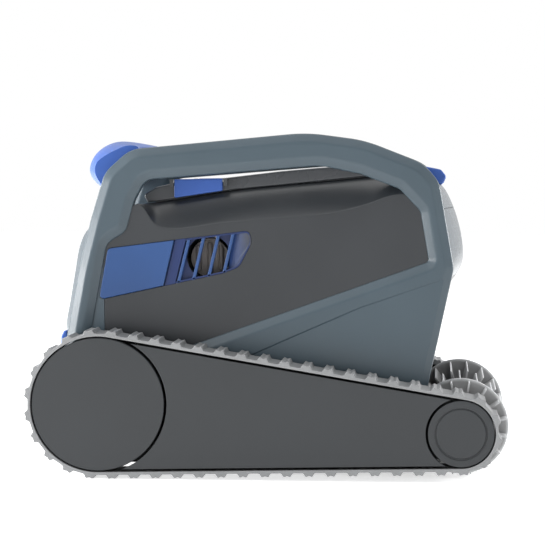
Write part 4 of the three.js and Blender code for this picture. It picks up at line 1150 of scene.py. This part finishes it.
@dataclass
class SideJets:
    """Blue jet panels with their grilles, the flaps behind them and the pump."""

    panel: tuple = ((-155.4, 156, 5), (-146.2, 203.2, 5), (-85.0, 209.9, 1), (-95.6, 168, 1))
    step: tuple = ((-95.2, 168), (-84.7, 210.0), (-74.6, 211.1), (-85.4, 170))
    pocket: tuple = (
        (-95.6, 168), (-85, 209.9, 2), (-17, 217.4, 7), (-15, 206, 9), (-27, 184, 12), (-42, 178.6, 4),
    )
    jet: tuple = (-54.9, 193.5)
    bore: float = 20.0
    bar_count: int = 4
    bar_width: float = 3.0
    painted_shade_start: float = -33.0
    painted_shade_length: float = 11.0

    def build(self) -> None:
        """Build both panels and both flaps, and dress the pump."""
        for side in Side:
            node = f"jet_panel_{side.word}"
            add_piece(f"{node}_face", self.face().on(side), BLUE, "chassis", [node])
            # The grille's darker blue is painted shade in the pocket.
            add_piece(f"{node}_grille", self.grille().on(side), BLUE_PAINTED_SHADE, "chassis", [node])
            add_piece(f"{node}_bars", self.bars().on(side), BLUE, "chassis", [node])
            # The ramp's blue fades to the body's charcoal from painted_shade_start over painted_shade_length: painted
            # shade at the pocket's end.
            end = self.ramp().on(side)
            painted_shade_share = np.clip((end.points[:, 0] - self.painted_shade_start) / self.painted_shade_length, 0, 1)
            add_piece(f"{node}_ramp", end, BLUE_FADING_INTO_PAINTED_SHADE, "chassis", [node], tip=painted_shade_share)
            flap = f"jet_flap_{side.word}"
            add_piece(f"{flap}_shutter", self.flap().on(side), GREY, flap, [flap])
        dress("pump_housing", BLACK, 0.5)
        dress("jet_duct_right", BLACK, 0.4)
        dress("jet_duct_left", BLACK, 0.4)
        dress("motor_unit", BLACK, 0.8)
        dress("impeller", WHITE, 0.3)

    def face(self) -> Form:
        """Flush blue plate."""
        reach = MACHINE.half_body
        outline = grown(rounded(self.panel, 8), -MACHINE.gap)
        return plate(outline, -reach - 1.6, -reach + 4, (), round_edge(0.7))

    def grille(self) -> Form:
        """Set-back step, rim, pocket walls and back wall with the jet's round hole."""
        reach = MACHINE.half_body
        pocket = rounded(self.pocket, 8)
        step = plate(np.array(self.step, float), -reach + 0.6, -reach + 4, (), round_edge(0.5))
        rim = plate(grown(pocket, 3.0), -reach + 4, -reach + 7, [grown(pocket, -1.5)], SHARP, SHARP)
        walls = plate(grown(pocket, -0.4), -reach + 0.8, -reach + 7, [grown(pocket, -1.8)], SHARP, SHARP)
        back = plate(grown(pocket, -1.0), -reach + 7, -reach + 8.4, (), SHARP, SHARP)
        return step.plus(rim, walls, back.cut(rod(self.bore, -160, -120, self.jet, 64)))

    def bars(self) -> Form:
        """All the slanted bars."""
        first, *others = [self.bar(number) for number in range(self.bar_count)]
        return first.plus(*others)

    def ramp(self) -> Form:
        """End of the pocket: a face that climbs evenly from the back wall to the body's side."""
        reach = MACHINE.half_body
        outline = rounded([(-37, 181.2), (-33.5, 215.2), (-17.6, 216.9, 6), (-15.6, 206, 8.4), (-27.4, 184.7, 11)], 8)
        form = plate(outline[::-1] if self.clockwise(outline) else outline, -reach + 1, -reach + 7)
        climb = np.clip((form.points[:, 0] + 37) / 20, 0, 1)
        outer = form.points[:, 1] < -reach + 3
        form.points[:, 1] = np.where(outer, -reach + 6.6 - 6.0 * climb, form.points[:, 1])
        return form

    @staticmethod
    def clockwise(outline: Array) -> bool:
        """Whether an outline runs clockwise, from the sign of its area."""
        following = np.roll(outline, -1, axis=0)
        return float(np.sum(outline[:, 0] * following[:, 1] - following[:, 0] * outline[:, 1])) < 0

    def bar(self, number: int) -> Form:
        """One slanted bar, from the pocket's lower edge to its upper edge."""
        low, high = 165 + 3.4 * number, 213 + 1.6 * number
        bottom, top = -85.4 + 14 * number, -73 + 13.4 * number
        low_share = 0.04 + 0.017 * number
        high_share = 0.93
        start = (bottom + (top - bottom) * low_share, low + (high - low) * low_share)
        end = (bottom + (top - bottom) * high_share, low + (high - low) * high_share)
        wide = self.bar_width
        outline = np.array([start, end, (end[0] + wide, end[1]), (start[0] + wide, start[1])], float)
        soft = round_edge(0.7)
        return plate(outline, -147.2, -141, (), soft, soft)

    def flap(self) -> Form:
        """Round flap with three bowed upright leaves and its hinge barrel.

        A leaf's height over the disc is a raised half sine across its width.
        """
        x, z = self.jet[0], self.jet[1] - 1.2
        disc = rod(17.2, -128, -126, (x, z), 64)
        leaves = []
        for centre, half_height in ((-10.2, 11.0), (0.2, 14.0), (10.4, 10.8)):
            across = np.linspace(-1.0, 1.0, 17)
            lift = 3.4 * np.cos(across * math.pi / 2) ** 0.7 + 0.3
            width = x + centre + across * 2.7
            top = z + half_height - 1.2 * across**2
            bottom = z - half_height + 1.2 * across**2
            front = np.stack([width, -128 - lift], axis=-1)
            back = np.stack([width[::-1], np.full(17, -127.5)], axis=-1)
            loop = np.concatenate([front, back])
            heights = np.stack([np.concatenate([bottom, bottom[::-1]]), np.concatenate([top, top[::-1]])])
            share = np.linspace(0.0, 1.0, 6)[:, None]
            z_rows = heights[0] + (heights[1] - heights[0]) * share
            rings = np.stack([
                np.broadcast_to(loop[:, 0], z_rows.shape), np.broadcast_to(loop[:, 1], z_rows.shape), z_rows,
            ], axis=-1)
            leaves.append(capped(rings))
        barrel = rod(1.6, -7, 7, (0.0, 0.0), 24).points
        lying = np.stack([barrel[:, 1] + self.jet[0], barrel[:, 0] - 127, barrel[:, 2] + self.jet[1] + 15.6], axis=-1)
        return disc.plus(*leaves, Form(lying, grid_faces(4, 24, closed_rows=True)))


# ---------------------------------------------------------------- tracks


@dataclass
class Tracks:
    """Rubber belts, their wheels and the covers between the wheels."""

    lug_count: int = 48
    first_lug: float = 11.6
    lug_base: float = 10.4
    lug_tip: float = 5.8
    notch_depth: float = 0.8
    cover_face: float = 204.0
    cover_inset: float = 2.2
    rear_hollow: float = 61.4
    front_hollow: float = 31.4

    def loop(self, run: Array, lift: Array) -> Array:
        """Points on the belt's inner loop after `run` mm, pushed outwards by `lift`.

        The loop is the ground run, the arc round the small wheel, the sloping upper run and the arc round the large
        wheel, each with its own formula; np.select picks the one that holds.

        Args:
            run: distances along the loop.
            lift: distances outwards.

        Returns:
            Points (n, 2).
        """
        base = MACHINE.wheelbase
        front, rear = MACHINE.front_run_radius, MACHINE.rear_run_radius
        front_arc = (math.pi - 2 * self.slope) * front
        along = np.mod(run, self.length)
        rear_x, rear_z = MACHINE.rear_axle
        front_x, front_z = MACHINE.front_axle
        top_angle = math.pi / 2 - 2 * self.slope
        front_angle = -math.pi / 2 + (along - base) / front
        after = along - base - front_arc
        rear_angle = top_angle + (after - base) / rear
        stretches = [along < base, along < base + front_arc, after < base]
        x = np.select(stretches, [
            rear_x + along,
            front_x + (front + lift) * np.cos(front_angle),
            front_x + (front + lift) * math.cos(top_angle) - after * math.sin(top_angle),
        ], rear_x + (rear + lift) * np.cos(rear_angle))
        z = np.select(stretches, [
            MACHINE.belt_thickness - lift,
            front_z + (front + lift) * np.sin(front_angle),
            front_z + (front + lift) * math.sin(top_angle) + after * math.cos(top_angle),
        ], rear_z + (rear + lift) * np.sin(rear_angle))
        return np.stack([x, z], axis=-1)

    @property
    def slope(self) -> float:
        """Half the difference in direction between the belt's upper and lower runs."""
        drop = MACHINE.rear_run_radius - MACHINE.front_run_radius
        return math.asin(drop / math.hypot(MACHINE.wheelbase, MACHINE.rear_axle[1] - MACHINE.front_axle[1]))

    @property
    def length(self) -> float:
        """Length of the belt's inner loop."""
        front_arc = (math.pi - 2 * self.slope) * MACHINE.front_run_radius
        rear_arc = (math.pi + 2 * self.slope) * MACHINE.rear_run_radius
        return 2 * MACHINE.wheelbase + front_arc + rear_arc

    def inner_loop(self, lift: float, count: int = 400) -> Array:
        """Closed outline at a constant distance from the belt's inner loop."""
        return self.loop(np.arange(count) * self.length / count, np.full(count, lift))

    def belt(self) -> Form:
        """Belt whose outline rises into lugs: each lug has sloping flanks and two points with a dip between them."""
        half_base, half_tip = self.lug_base / 2, self.lug_tip / 2
        root, top = MACHINE.belt_root, MACHINE.belt_thickness
        tooth = np.array([
            (-half_base - 1.2, root), (-half_base - 0.2, root + 0.1), (-half_base + 0.5, root + 0.6),
            (-half_tip - 0.5, top - 0.5), (-half_tip, top), (-half_tip + 0.8, top - 0.1),
            (0, top - self.notch_depth), (half_tip - 0.8, top - 0.1), (half_tip, top), (half_tip + 0.5, top - 0.5),
            (half_base - 0.5, root + 0.6), (half_base + 0.2, root + 0.1), (half_base + 1.2, root),
        ])
        pitch = self.length / self.lug_count
        centres = self.first_lug + np.arange(self.lug_count)[:, None] * pitch
        run = (centres + tooth[:, 0]).ravel()
        lift = np.broadcast_to(tooth[:, 1], (self.lug_count, len(tooth))).ravel()
        edge = round_edge(0.7, 4)
        return plate(
            self.loop(run, lift), -MACHINE.half_width, -MACHINE.belt_inner_face, [self.inner_loop(0.0)], edge, edge,
        )

    def cover(self) -> Form:
        """Cover between the wheels: the belt's inner loop drawn in a little, hollowed by a circle round each wheel.

        A circle of radius r meets a run that passes its centre at distance d at the angle acos(d / r) from the run's
        own normal, so the outline is the arc of each circle between its two meeting points.
        """
        upper = math.pi / 2 - 2 * self.slope
        lower = -math.pi / 2
        rear = math.acos((MACHINE.rear_run_radius - self.cover_inset) / self.rear_hollow)
        front = math.acos((MACHINE.front_run_radius - self.cover_inset) / self.front_hollow)
        rear_angle = np.linspace(upper - rear, lower + rear, 90)
        front_angle = np.linspace(lower - front + 2 * math.pi, upper + front, 60)
        rear_x, rear_z = MACHINE.rear_axle
        front_x, front_z = MACHINE.front_axle
        outline = np.concatenate([
            np.stack([
                rear_x + self.rear_hollow * np.cos(rear_angle), rear_z + self.rear_hollow * np.sin(rear_angle),
            ], 1),
            np.stack([front_x + self.front_hollow * np.cos(front_angle),
                      front_z + self.front_hollow * np.sin(front_angle)], 1),
        ])
        return plate(outline, -self.cover_face, -200.5, (), round_edge(0.5, 3))

    def bosses(self) -> Form:
        """Posts that hold the cover to the inner plate."""
        first, second = (rod(9, -200.8, -159.2, place) for place in ((-62, 60), (112, 40)))
        return first.plus(second)

    def rear_wheel(self) -> Form:
        """Large driving wheel with a plain closed face."""
        face, bore = -203.8, 8.4
        return turned([
            (0, face), (58.0, face), (58.6, face + 0.12), (59.0, face + 0.5), (59.2, face + 1.1), (59.2, -160),
            (55.6, -160), (55.6, face + 4), (15, face + 4), (15, -162), (bore, -162), (bore, face + 6),
            (0, face + 6),
        ], MACHINE.rear_axle, 160)

    def front_wheel(self) -> Form:
        """Small front wheel with a raised round cap."""
        face = -204.0
        return turned([
            (0, face), (20.6, face), (21.4, face + 0.15), (21.9, face + 0.7), (22.1, face + 1.5),
            (23.2, face + 1.5), (23.4, face + 0.6), (23.9, face + 0.4), (28.4, face + 0.4), (29.1, face + 0.6),
            (29.4, face + 1.2), (29.4, -160), (25.6, -160), (25.6, -196), (13, -196), (13, -162), (7.6, -162),
            (7.6, -200), (0, -200),
        ], MACHINE.front_axle, 120)

    def build(self) -> None:
        """Build both tracks."""
        belt, cover, bosses = self.belt(), self.cover(), self.bosses()
        rear, front = self.rear_wheel(), self.front_wheel()
        for side in Side:
            word = side.word
            add_piece(f"track_belt_{word}_rubber", belt.on(side), BELT, "chassis", [f"track_belt_{word}"])
            add_piece(f"track_cover_{word}_moulding", cover.plus(bosses).on(side), CHARCOAL, "chassis",
                      [f"track_cover_{word}"])
            add_piece(f"rear_wheel_{word}_moulding", rear.on(side), CHARCOAL, f"rear_wheel_{word}",
                      [f"rear_wheel_{word}"])
            add_piece(f"front_wheel_{word}_moulding", front.on(side), CHARCOAL, f"front_wheel_{word}",
                      [f"front_wheel_{word}"])
            dress(f"track_plate_{word}", BLACK, 0.4)
            dress(f"drive_axle_{word}", STEEL, 0.0)
            dress(f"front_axle_{word}", STEEL, 0.0)


# ---------------------------------------------------------------- brush


@dataclass
class Brush:
    """Rolling brush: a core, a thin disc near each end and rows of radial rubber vanes."""

    radius: float = 42.0
    disc_radius: float = 43.5
    disc_place: float = 125.3
    half_disc: float = 1.5
    vane_count: int = 16
    core_radius: float = 16.0
    half_length: float = 151.7

    def disc(self) -> Form:
        """Thin disc with a rounded rim."""
        low, high = -self.disc_place - self.half_disc, -self.disc_place + self.half_disc
        bore = self.core_radius + MACHINE.gap
        rim = self.disc_radius
        return turned([
            (bore, low), (rim - 3.0, low), (rim - 2.2, low + 0.2), (rim - 0.5, low + 0.35), (rim, low + 0.9),
            (rim, high - 0.9), (rim - 0.5, high - 0.35), (rim - 2.2, high - 0.2), (rim - 3.0, high), (bore, high),
        ], MACHINE.front_axle, 128)

    def vanes(self, low: float, high: float, turn: float, waves: float) -> tuple[Form, Array]:
        """Ring of vanes on a sleeve.

        A vane is a closed loop of (radius, side) carried along Y. Its thickness shrinks from 2.8 mm at the root to
        1.5 mm at the tip, which is rounded, and its tip radius falls by 0.9 mm times a squared cosine along Y.

        Args:
            low: Y where the row starts.
            high: Y where it ends.
            turn: the first vane's angle in vane pitches.
            waves: number of waves along the tip.

        Returns:
            The form and its tip attribute, the share of painted highlight towards each vane's tip.
        """
        root = self.core_radius + 1.0
        inner_half, outer_half = 1.4, 0.75
        share = np.linspace(0.0, 1.0, 8)
        radius_side = root + (self.radius - root - 0.8) * share
        half = inner_half + (outer_half - inner_half) * share
        cap = np.linspace(math.pi / 2, -math.pi / 2, 7)[1:-1]
        cap_radius = self.radius - 0.8 + 0.8 * np.cos(cap)
        loop_radius = np.concatenate([radius_side, cap_radius, radius_side[::-1]])
        loop_side = np.concatenate([half, outer_half * np.sin(cap), -half[::-1]])
        rows = max(3, int(abs(high - low) / 3.0))
        y = np.linspace(low, high, rows)
        reach_share = (loop_radius - root) / (self.radius - root)
        dip = 0.9 * np.cos(math.pi * waves * (y - low) / (high - low)) ** 2 if waves else np.zeros(rows)
        swept = loop_radius[None, :] - dip[:, None] * reach_share[None, :] ** 2
        angle = 2 * math.pi * (np.arange(self.vane_count) + turn) / self.vane_count
        cosine, sine = np.cos(angle)[:, None, None], np.sin(angle)[:, None, None]
        x = MACHINE.front_axle[0] + swept * cosine - loop_side * sine
        z = MACHINE.front_axle[1] + swept * sine + loop_side * cosine
        depth = np.broadcast_to(y[None, :, None], x.shape)
        rings = np.stack([x, depth, z], axis=-1)
        columns = len(loop_radius)
        sleeve_profile = [
            (self.core_radius + MACHINE.gap, low), (root + 2.4, low), (root + 2.4, high),
            (self.core_radius + MACHINE.gap, high),
        ]
        form = turned(sleeve_profile, MACHINE.front_axle, 64)
        vanes = Form(rings.reshape(-1, 3), [])
        ends = [tuple(range(columns)), tuple(range((rows - 1) * columns, rows * columns))]
        for number in range(self.vane_count):
            start = number * rows * columns
            vanes.faces += [tuple(reversed(face)) for face in grid_faces(rows, columns, start)]
            vanes.faces += [tuple(corner + start for corner in ends[0])]
            vanes.faces += [tuple(corner + start for corner in reversed(ends[1]))]
        # Painted highlight over the outer fifth of each vane.
        tip = np.broadcast_to(np.clip((reach_share - 0.80) / 0.2, 0, 1) ** 1.5, x.shape).ravel()
        return form.plus(vanes), np.concatenate([np.zeros(len(form.points)), tip])

    def painted_rim_highlight(self, form: Form) -> Array:
        """Tip attribute of a disc, a painted highlight: 1 at the rim, 0 inside it."""
        x, z = MACHINE.front_axle
        distance = np.hypot(form.points[:, 0] - x, form.points[:, 2] - z)
        return np.clip((distance - self.disc_radius + 2.6) / 1.6, 0, 1)

    def build(self) -> None:
        """Build both discs and the four rows of vanes, and dress the core."""
        disc = self.disc()
        edge = self.disc_place - self.half_disc - MACHINE.gap
        rows = (
            ("inner_right", -edge, -MACHINE.gap / 2, 0.0, 16.0),
            ("inner_left", MACHINE.gap / 2, edge, 0.5, 16.0),
        )
        for name, low, high, turn, waves in rows:
            form, tip = self.vanes(low, high, turn, waves)
            node = f"brush_vanes_{name}"
            add_piece(f"{node}_rubber", form, BRUSH, "brush", [node], tip=tip)
        outer = self.disc_place + self.half_disc + MACHINE.gap
        end_form, end_painted_highlight = self.vanes(-self.half_length, -outer, 0.5, 0.0)
        for side in Side:
            node = f"brush_vanes_end_{side.word}"
            add_piece(f"{node}_rubber", end_form.on(side), BRUSH, "brush", [node], tip=end_painted_highlight)
            rim = disc.on(side)
            node = f"brush_disc_{side.word}"
            add_piece(f"{node}_rubber", rim, BRUSH, "brush", [node], tip=self.painted_rim_highlight(rim))
        dress("brush_core", BLACK, 0.4)


# ---------------------------------------------------------------- inside and underside


@dataclass
class Inside:
    """Pieces inside the hull and under it that keep their design shape."""

    screw_count: int = 4

    def build(self) -> None:
        """Dress the filter, the inlet flaps, the suction plate and its screws."""
        dress("filter_basket", WHITE, 0.8)
        for place in ("right", "left", "rear", "front"):
            dress(f"filter_screen_{place}", SCREEN, 0.0)
        for side in Side:
            dress(f"inlet_flap_{side.word}", SOFT, 0.4)
        dress("suction_plate", CHARCOAL, 0.8)
        for number in range(1, self.screw_count + 1):
            dress(f"floor_screw_{number}", STEEL, 0.2)


# ---------------------------------------------------------------- studio


@dataclass
class Studio:
    """Pale floor, soft lights, pale surroundings and the camera.

    Angles are in degrees, lengths in metres and powers in watts.
    """

    camera_place: tuple = (0.1528, -2.555, 0.275)
    camera_turn: float = 3.6
    camera_dip: float = 2.2
    camera_roll: float = 0.38
    lens: float = 176.7
    floor_radius: float = 9.0
    ambient: float = 0.50
    mirrored: float = 0.5
    lights: tuple = (
        ("overhead", (0.0, -0.2, 2.6), (0.0, 0.0, 0.1), 3.0, 38.0),
        ("key", (-1.6, -2.2, 1.9), (0.0, 0.0, 0.12), 1.6, 11.0),
        ("fill", (2.2, -1.8, 1.2), (0.1, 0.0, 0.12), 1.8, 4.0),
        ("rim", (1.2, 2.4, 1.8), (0.0, 0.0, 0.15), 1.8, 8.0),
        ("rear_side", (-2.3, 0.25, 0.6), (0.0, 0.0, 0.15), 0.9, 90.0),
        ("front_side", (2.3, 0.60, 0.6), (0.0, 0.0, 0.15), 0.9, 45.0),
        ("rear_edge", (-2.08, -1.22, 0.2), (-0.15, -0.2, 0.18), 0.8, 40.0),
    )

    def build(self) -> None:
        """Set up the whole studio."""
        self.build_camera()
        self.build_floor()
        self.build_lights()
        self.build_surroundings()
        bpy.context.scene.view_settings.view_transform = "Standard"

    def build_camera(self) -> None:
        """Camera at the side, a little above the machine."""
        data = bpy.data.cameras.new("side_camera")
        data.lens = self.lens
        data.sensor_width = 36.0
        data.dof.use_dof = False
        data.clip_end = 50.0
        camera = bpy.data.objects.new("side_camera", data)
        turn = Euler((0, 0, math.radians(self.camera_turn))).to_matrix()
        dip = Euler((math.radians(90 - self.camera_dip), 0, 0)).to_matrix()
        roll = Euler((0, 0, math.radians(self.camera_roll))).to_matrix()
        camera.matrix_world = (turn @ dip @ roll).to_4x4()
        camera.location = self.camera_place
        bpy.context.scene.collection.objects.link(camera)
        bpy.context.scene.camera = camera

    def build_floor(self) -> None:
        """Round pale floor: rings of points round the origin at Z = 0."""
        angle = np.linspace(0, 2 * math.pi, 96, endpoint=False)
        radius = np.array([0.01, 0.3, 1.0, 3.0, self.floor_radius])[:, None]
        points = np.stack([radius * np.cos(angle), radius * np.sin(angle), np.zeros((5, 96))], axis=-1)
        mesh = bpy.data.meshes.new("studio_floor")
        mesh.from_pydata(points.reshape(-1, 3).tolist(), [], grid_faces(5, 96) + [tuple(range(96))])
        material = bpy.data.materials.new("pale_floor")
        material.use_nodes = True
        shader = material.node_tree.nodes["Principled BSDF"]
        shader.inputs["Base Color"].default_value = (0.86, 0.86, 0.86, 1.0)
        shader.inputs["Roughness"].default_value = 0.9
        shader.inputs["Specular IOR Level"].default_value = 0.1
        shader.inputs["Emission Color"].default_value = (1.0, 1.0, 1.0, 1.0)
        shader.inputs["Emission Strength"].default_value = 0.6
        mesh.materials.append(material)
        floor = bpy.data.objects.new("studio_floor", mesh)
        bpy.context.scene.collection.objects.link(floor)

    def build_lights(self) -> None:
        """Large square area lights, each aimed at the machine."""
        for name, place, aim, size, power in self.lights:
            data = bpy.data.lights.new(name, "AREA")
            data.shape = "SQUARE"
            data.size = size
            data.energy = power
            light = bpy.data.objects.new(name, data)
            light.location = place
            light.rotation_euler = (Vector(aim) - Vector(place)).to_track_quat("-Z", "Y").to_euler()
            bpy.context.scene.collection.objects.link(light)

    def build_surroundings(self) -> None:
        """White surroundings that light the machine more softly than they look."""
        world = bpy.data.worlds.new("white_surroundings")
        world.use_nodes = True
        tree = world.node_tree
        background = tree.nodes["Background"]
        background.inputs["Color"].default_value = (1.0, 1.0, 1.0, 1.0)
        path = add_node(tree, "ShaderNodeLightPath")
        mirrored = sums(tree, "MULTIPLY", path.outputs["Is Glossy Ray"], self.mirrored)
        seen = sums(tree, "MAXIMUM", path.outputs["Is Camera Ray"], mirrored)
        strength = sums(tree, "MULTIPLY_ADD", seen, 1.0 - self.ambient)
        strength.node.inputs[2].default_value = self.ambient
        feed(tree, background.inputs["Strength"], strength)
        bpy.context.scene.world = world


# ---------------------------------------------------------------- assembly


def main() -> None:
    """Build the studio and every sub-assembly in order."""
    logging.basicConfig(level=logging.INFO, format="%(name)s %(message)s")
    Studio().build()
    hull = Hull()
    hull.build()
    SideFrames().build(hull)
    Lid().build()
    SideJets().build()
    Tracks().build()
    Brush().build()
    Inside().build()
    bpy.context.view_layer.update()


if __name__ == "__main__":
    main()
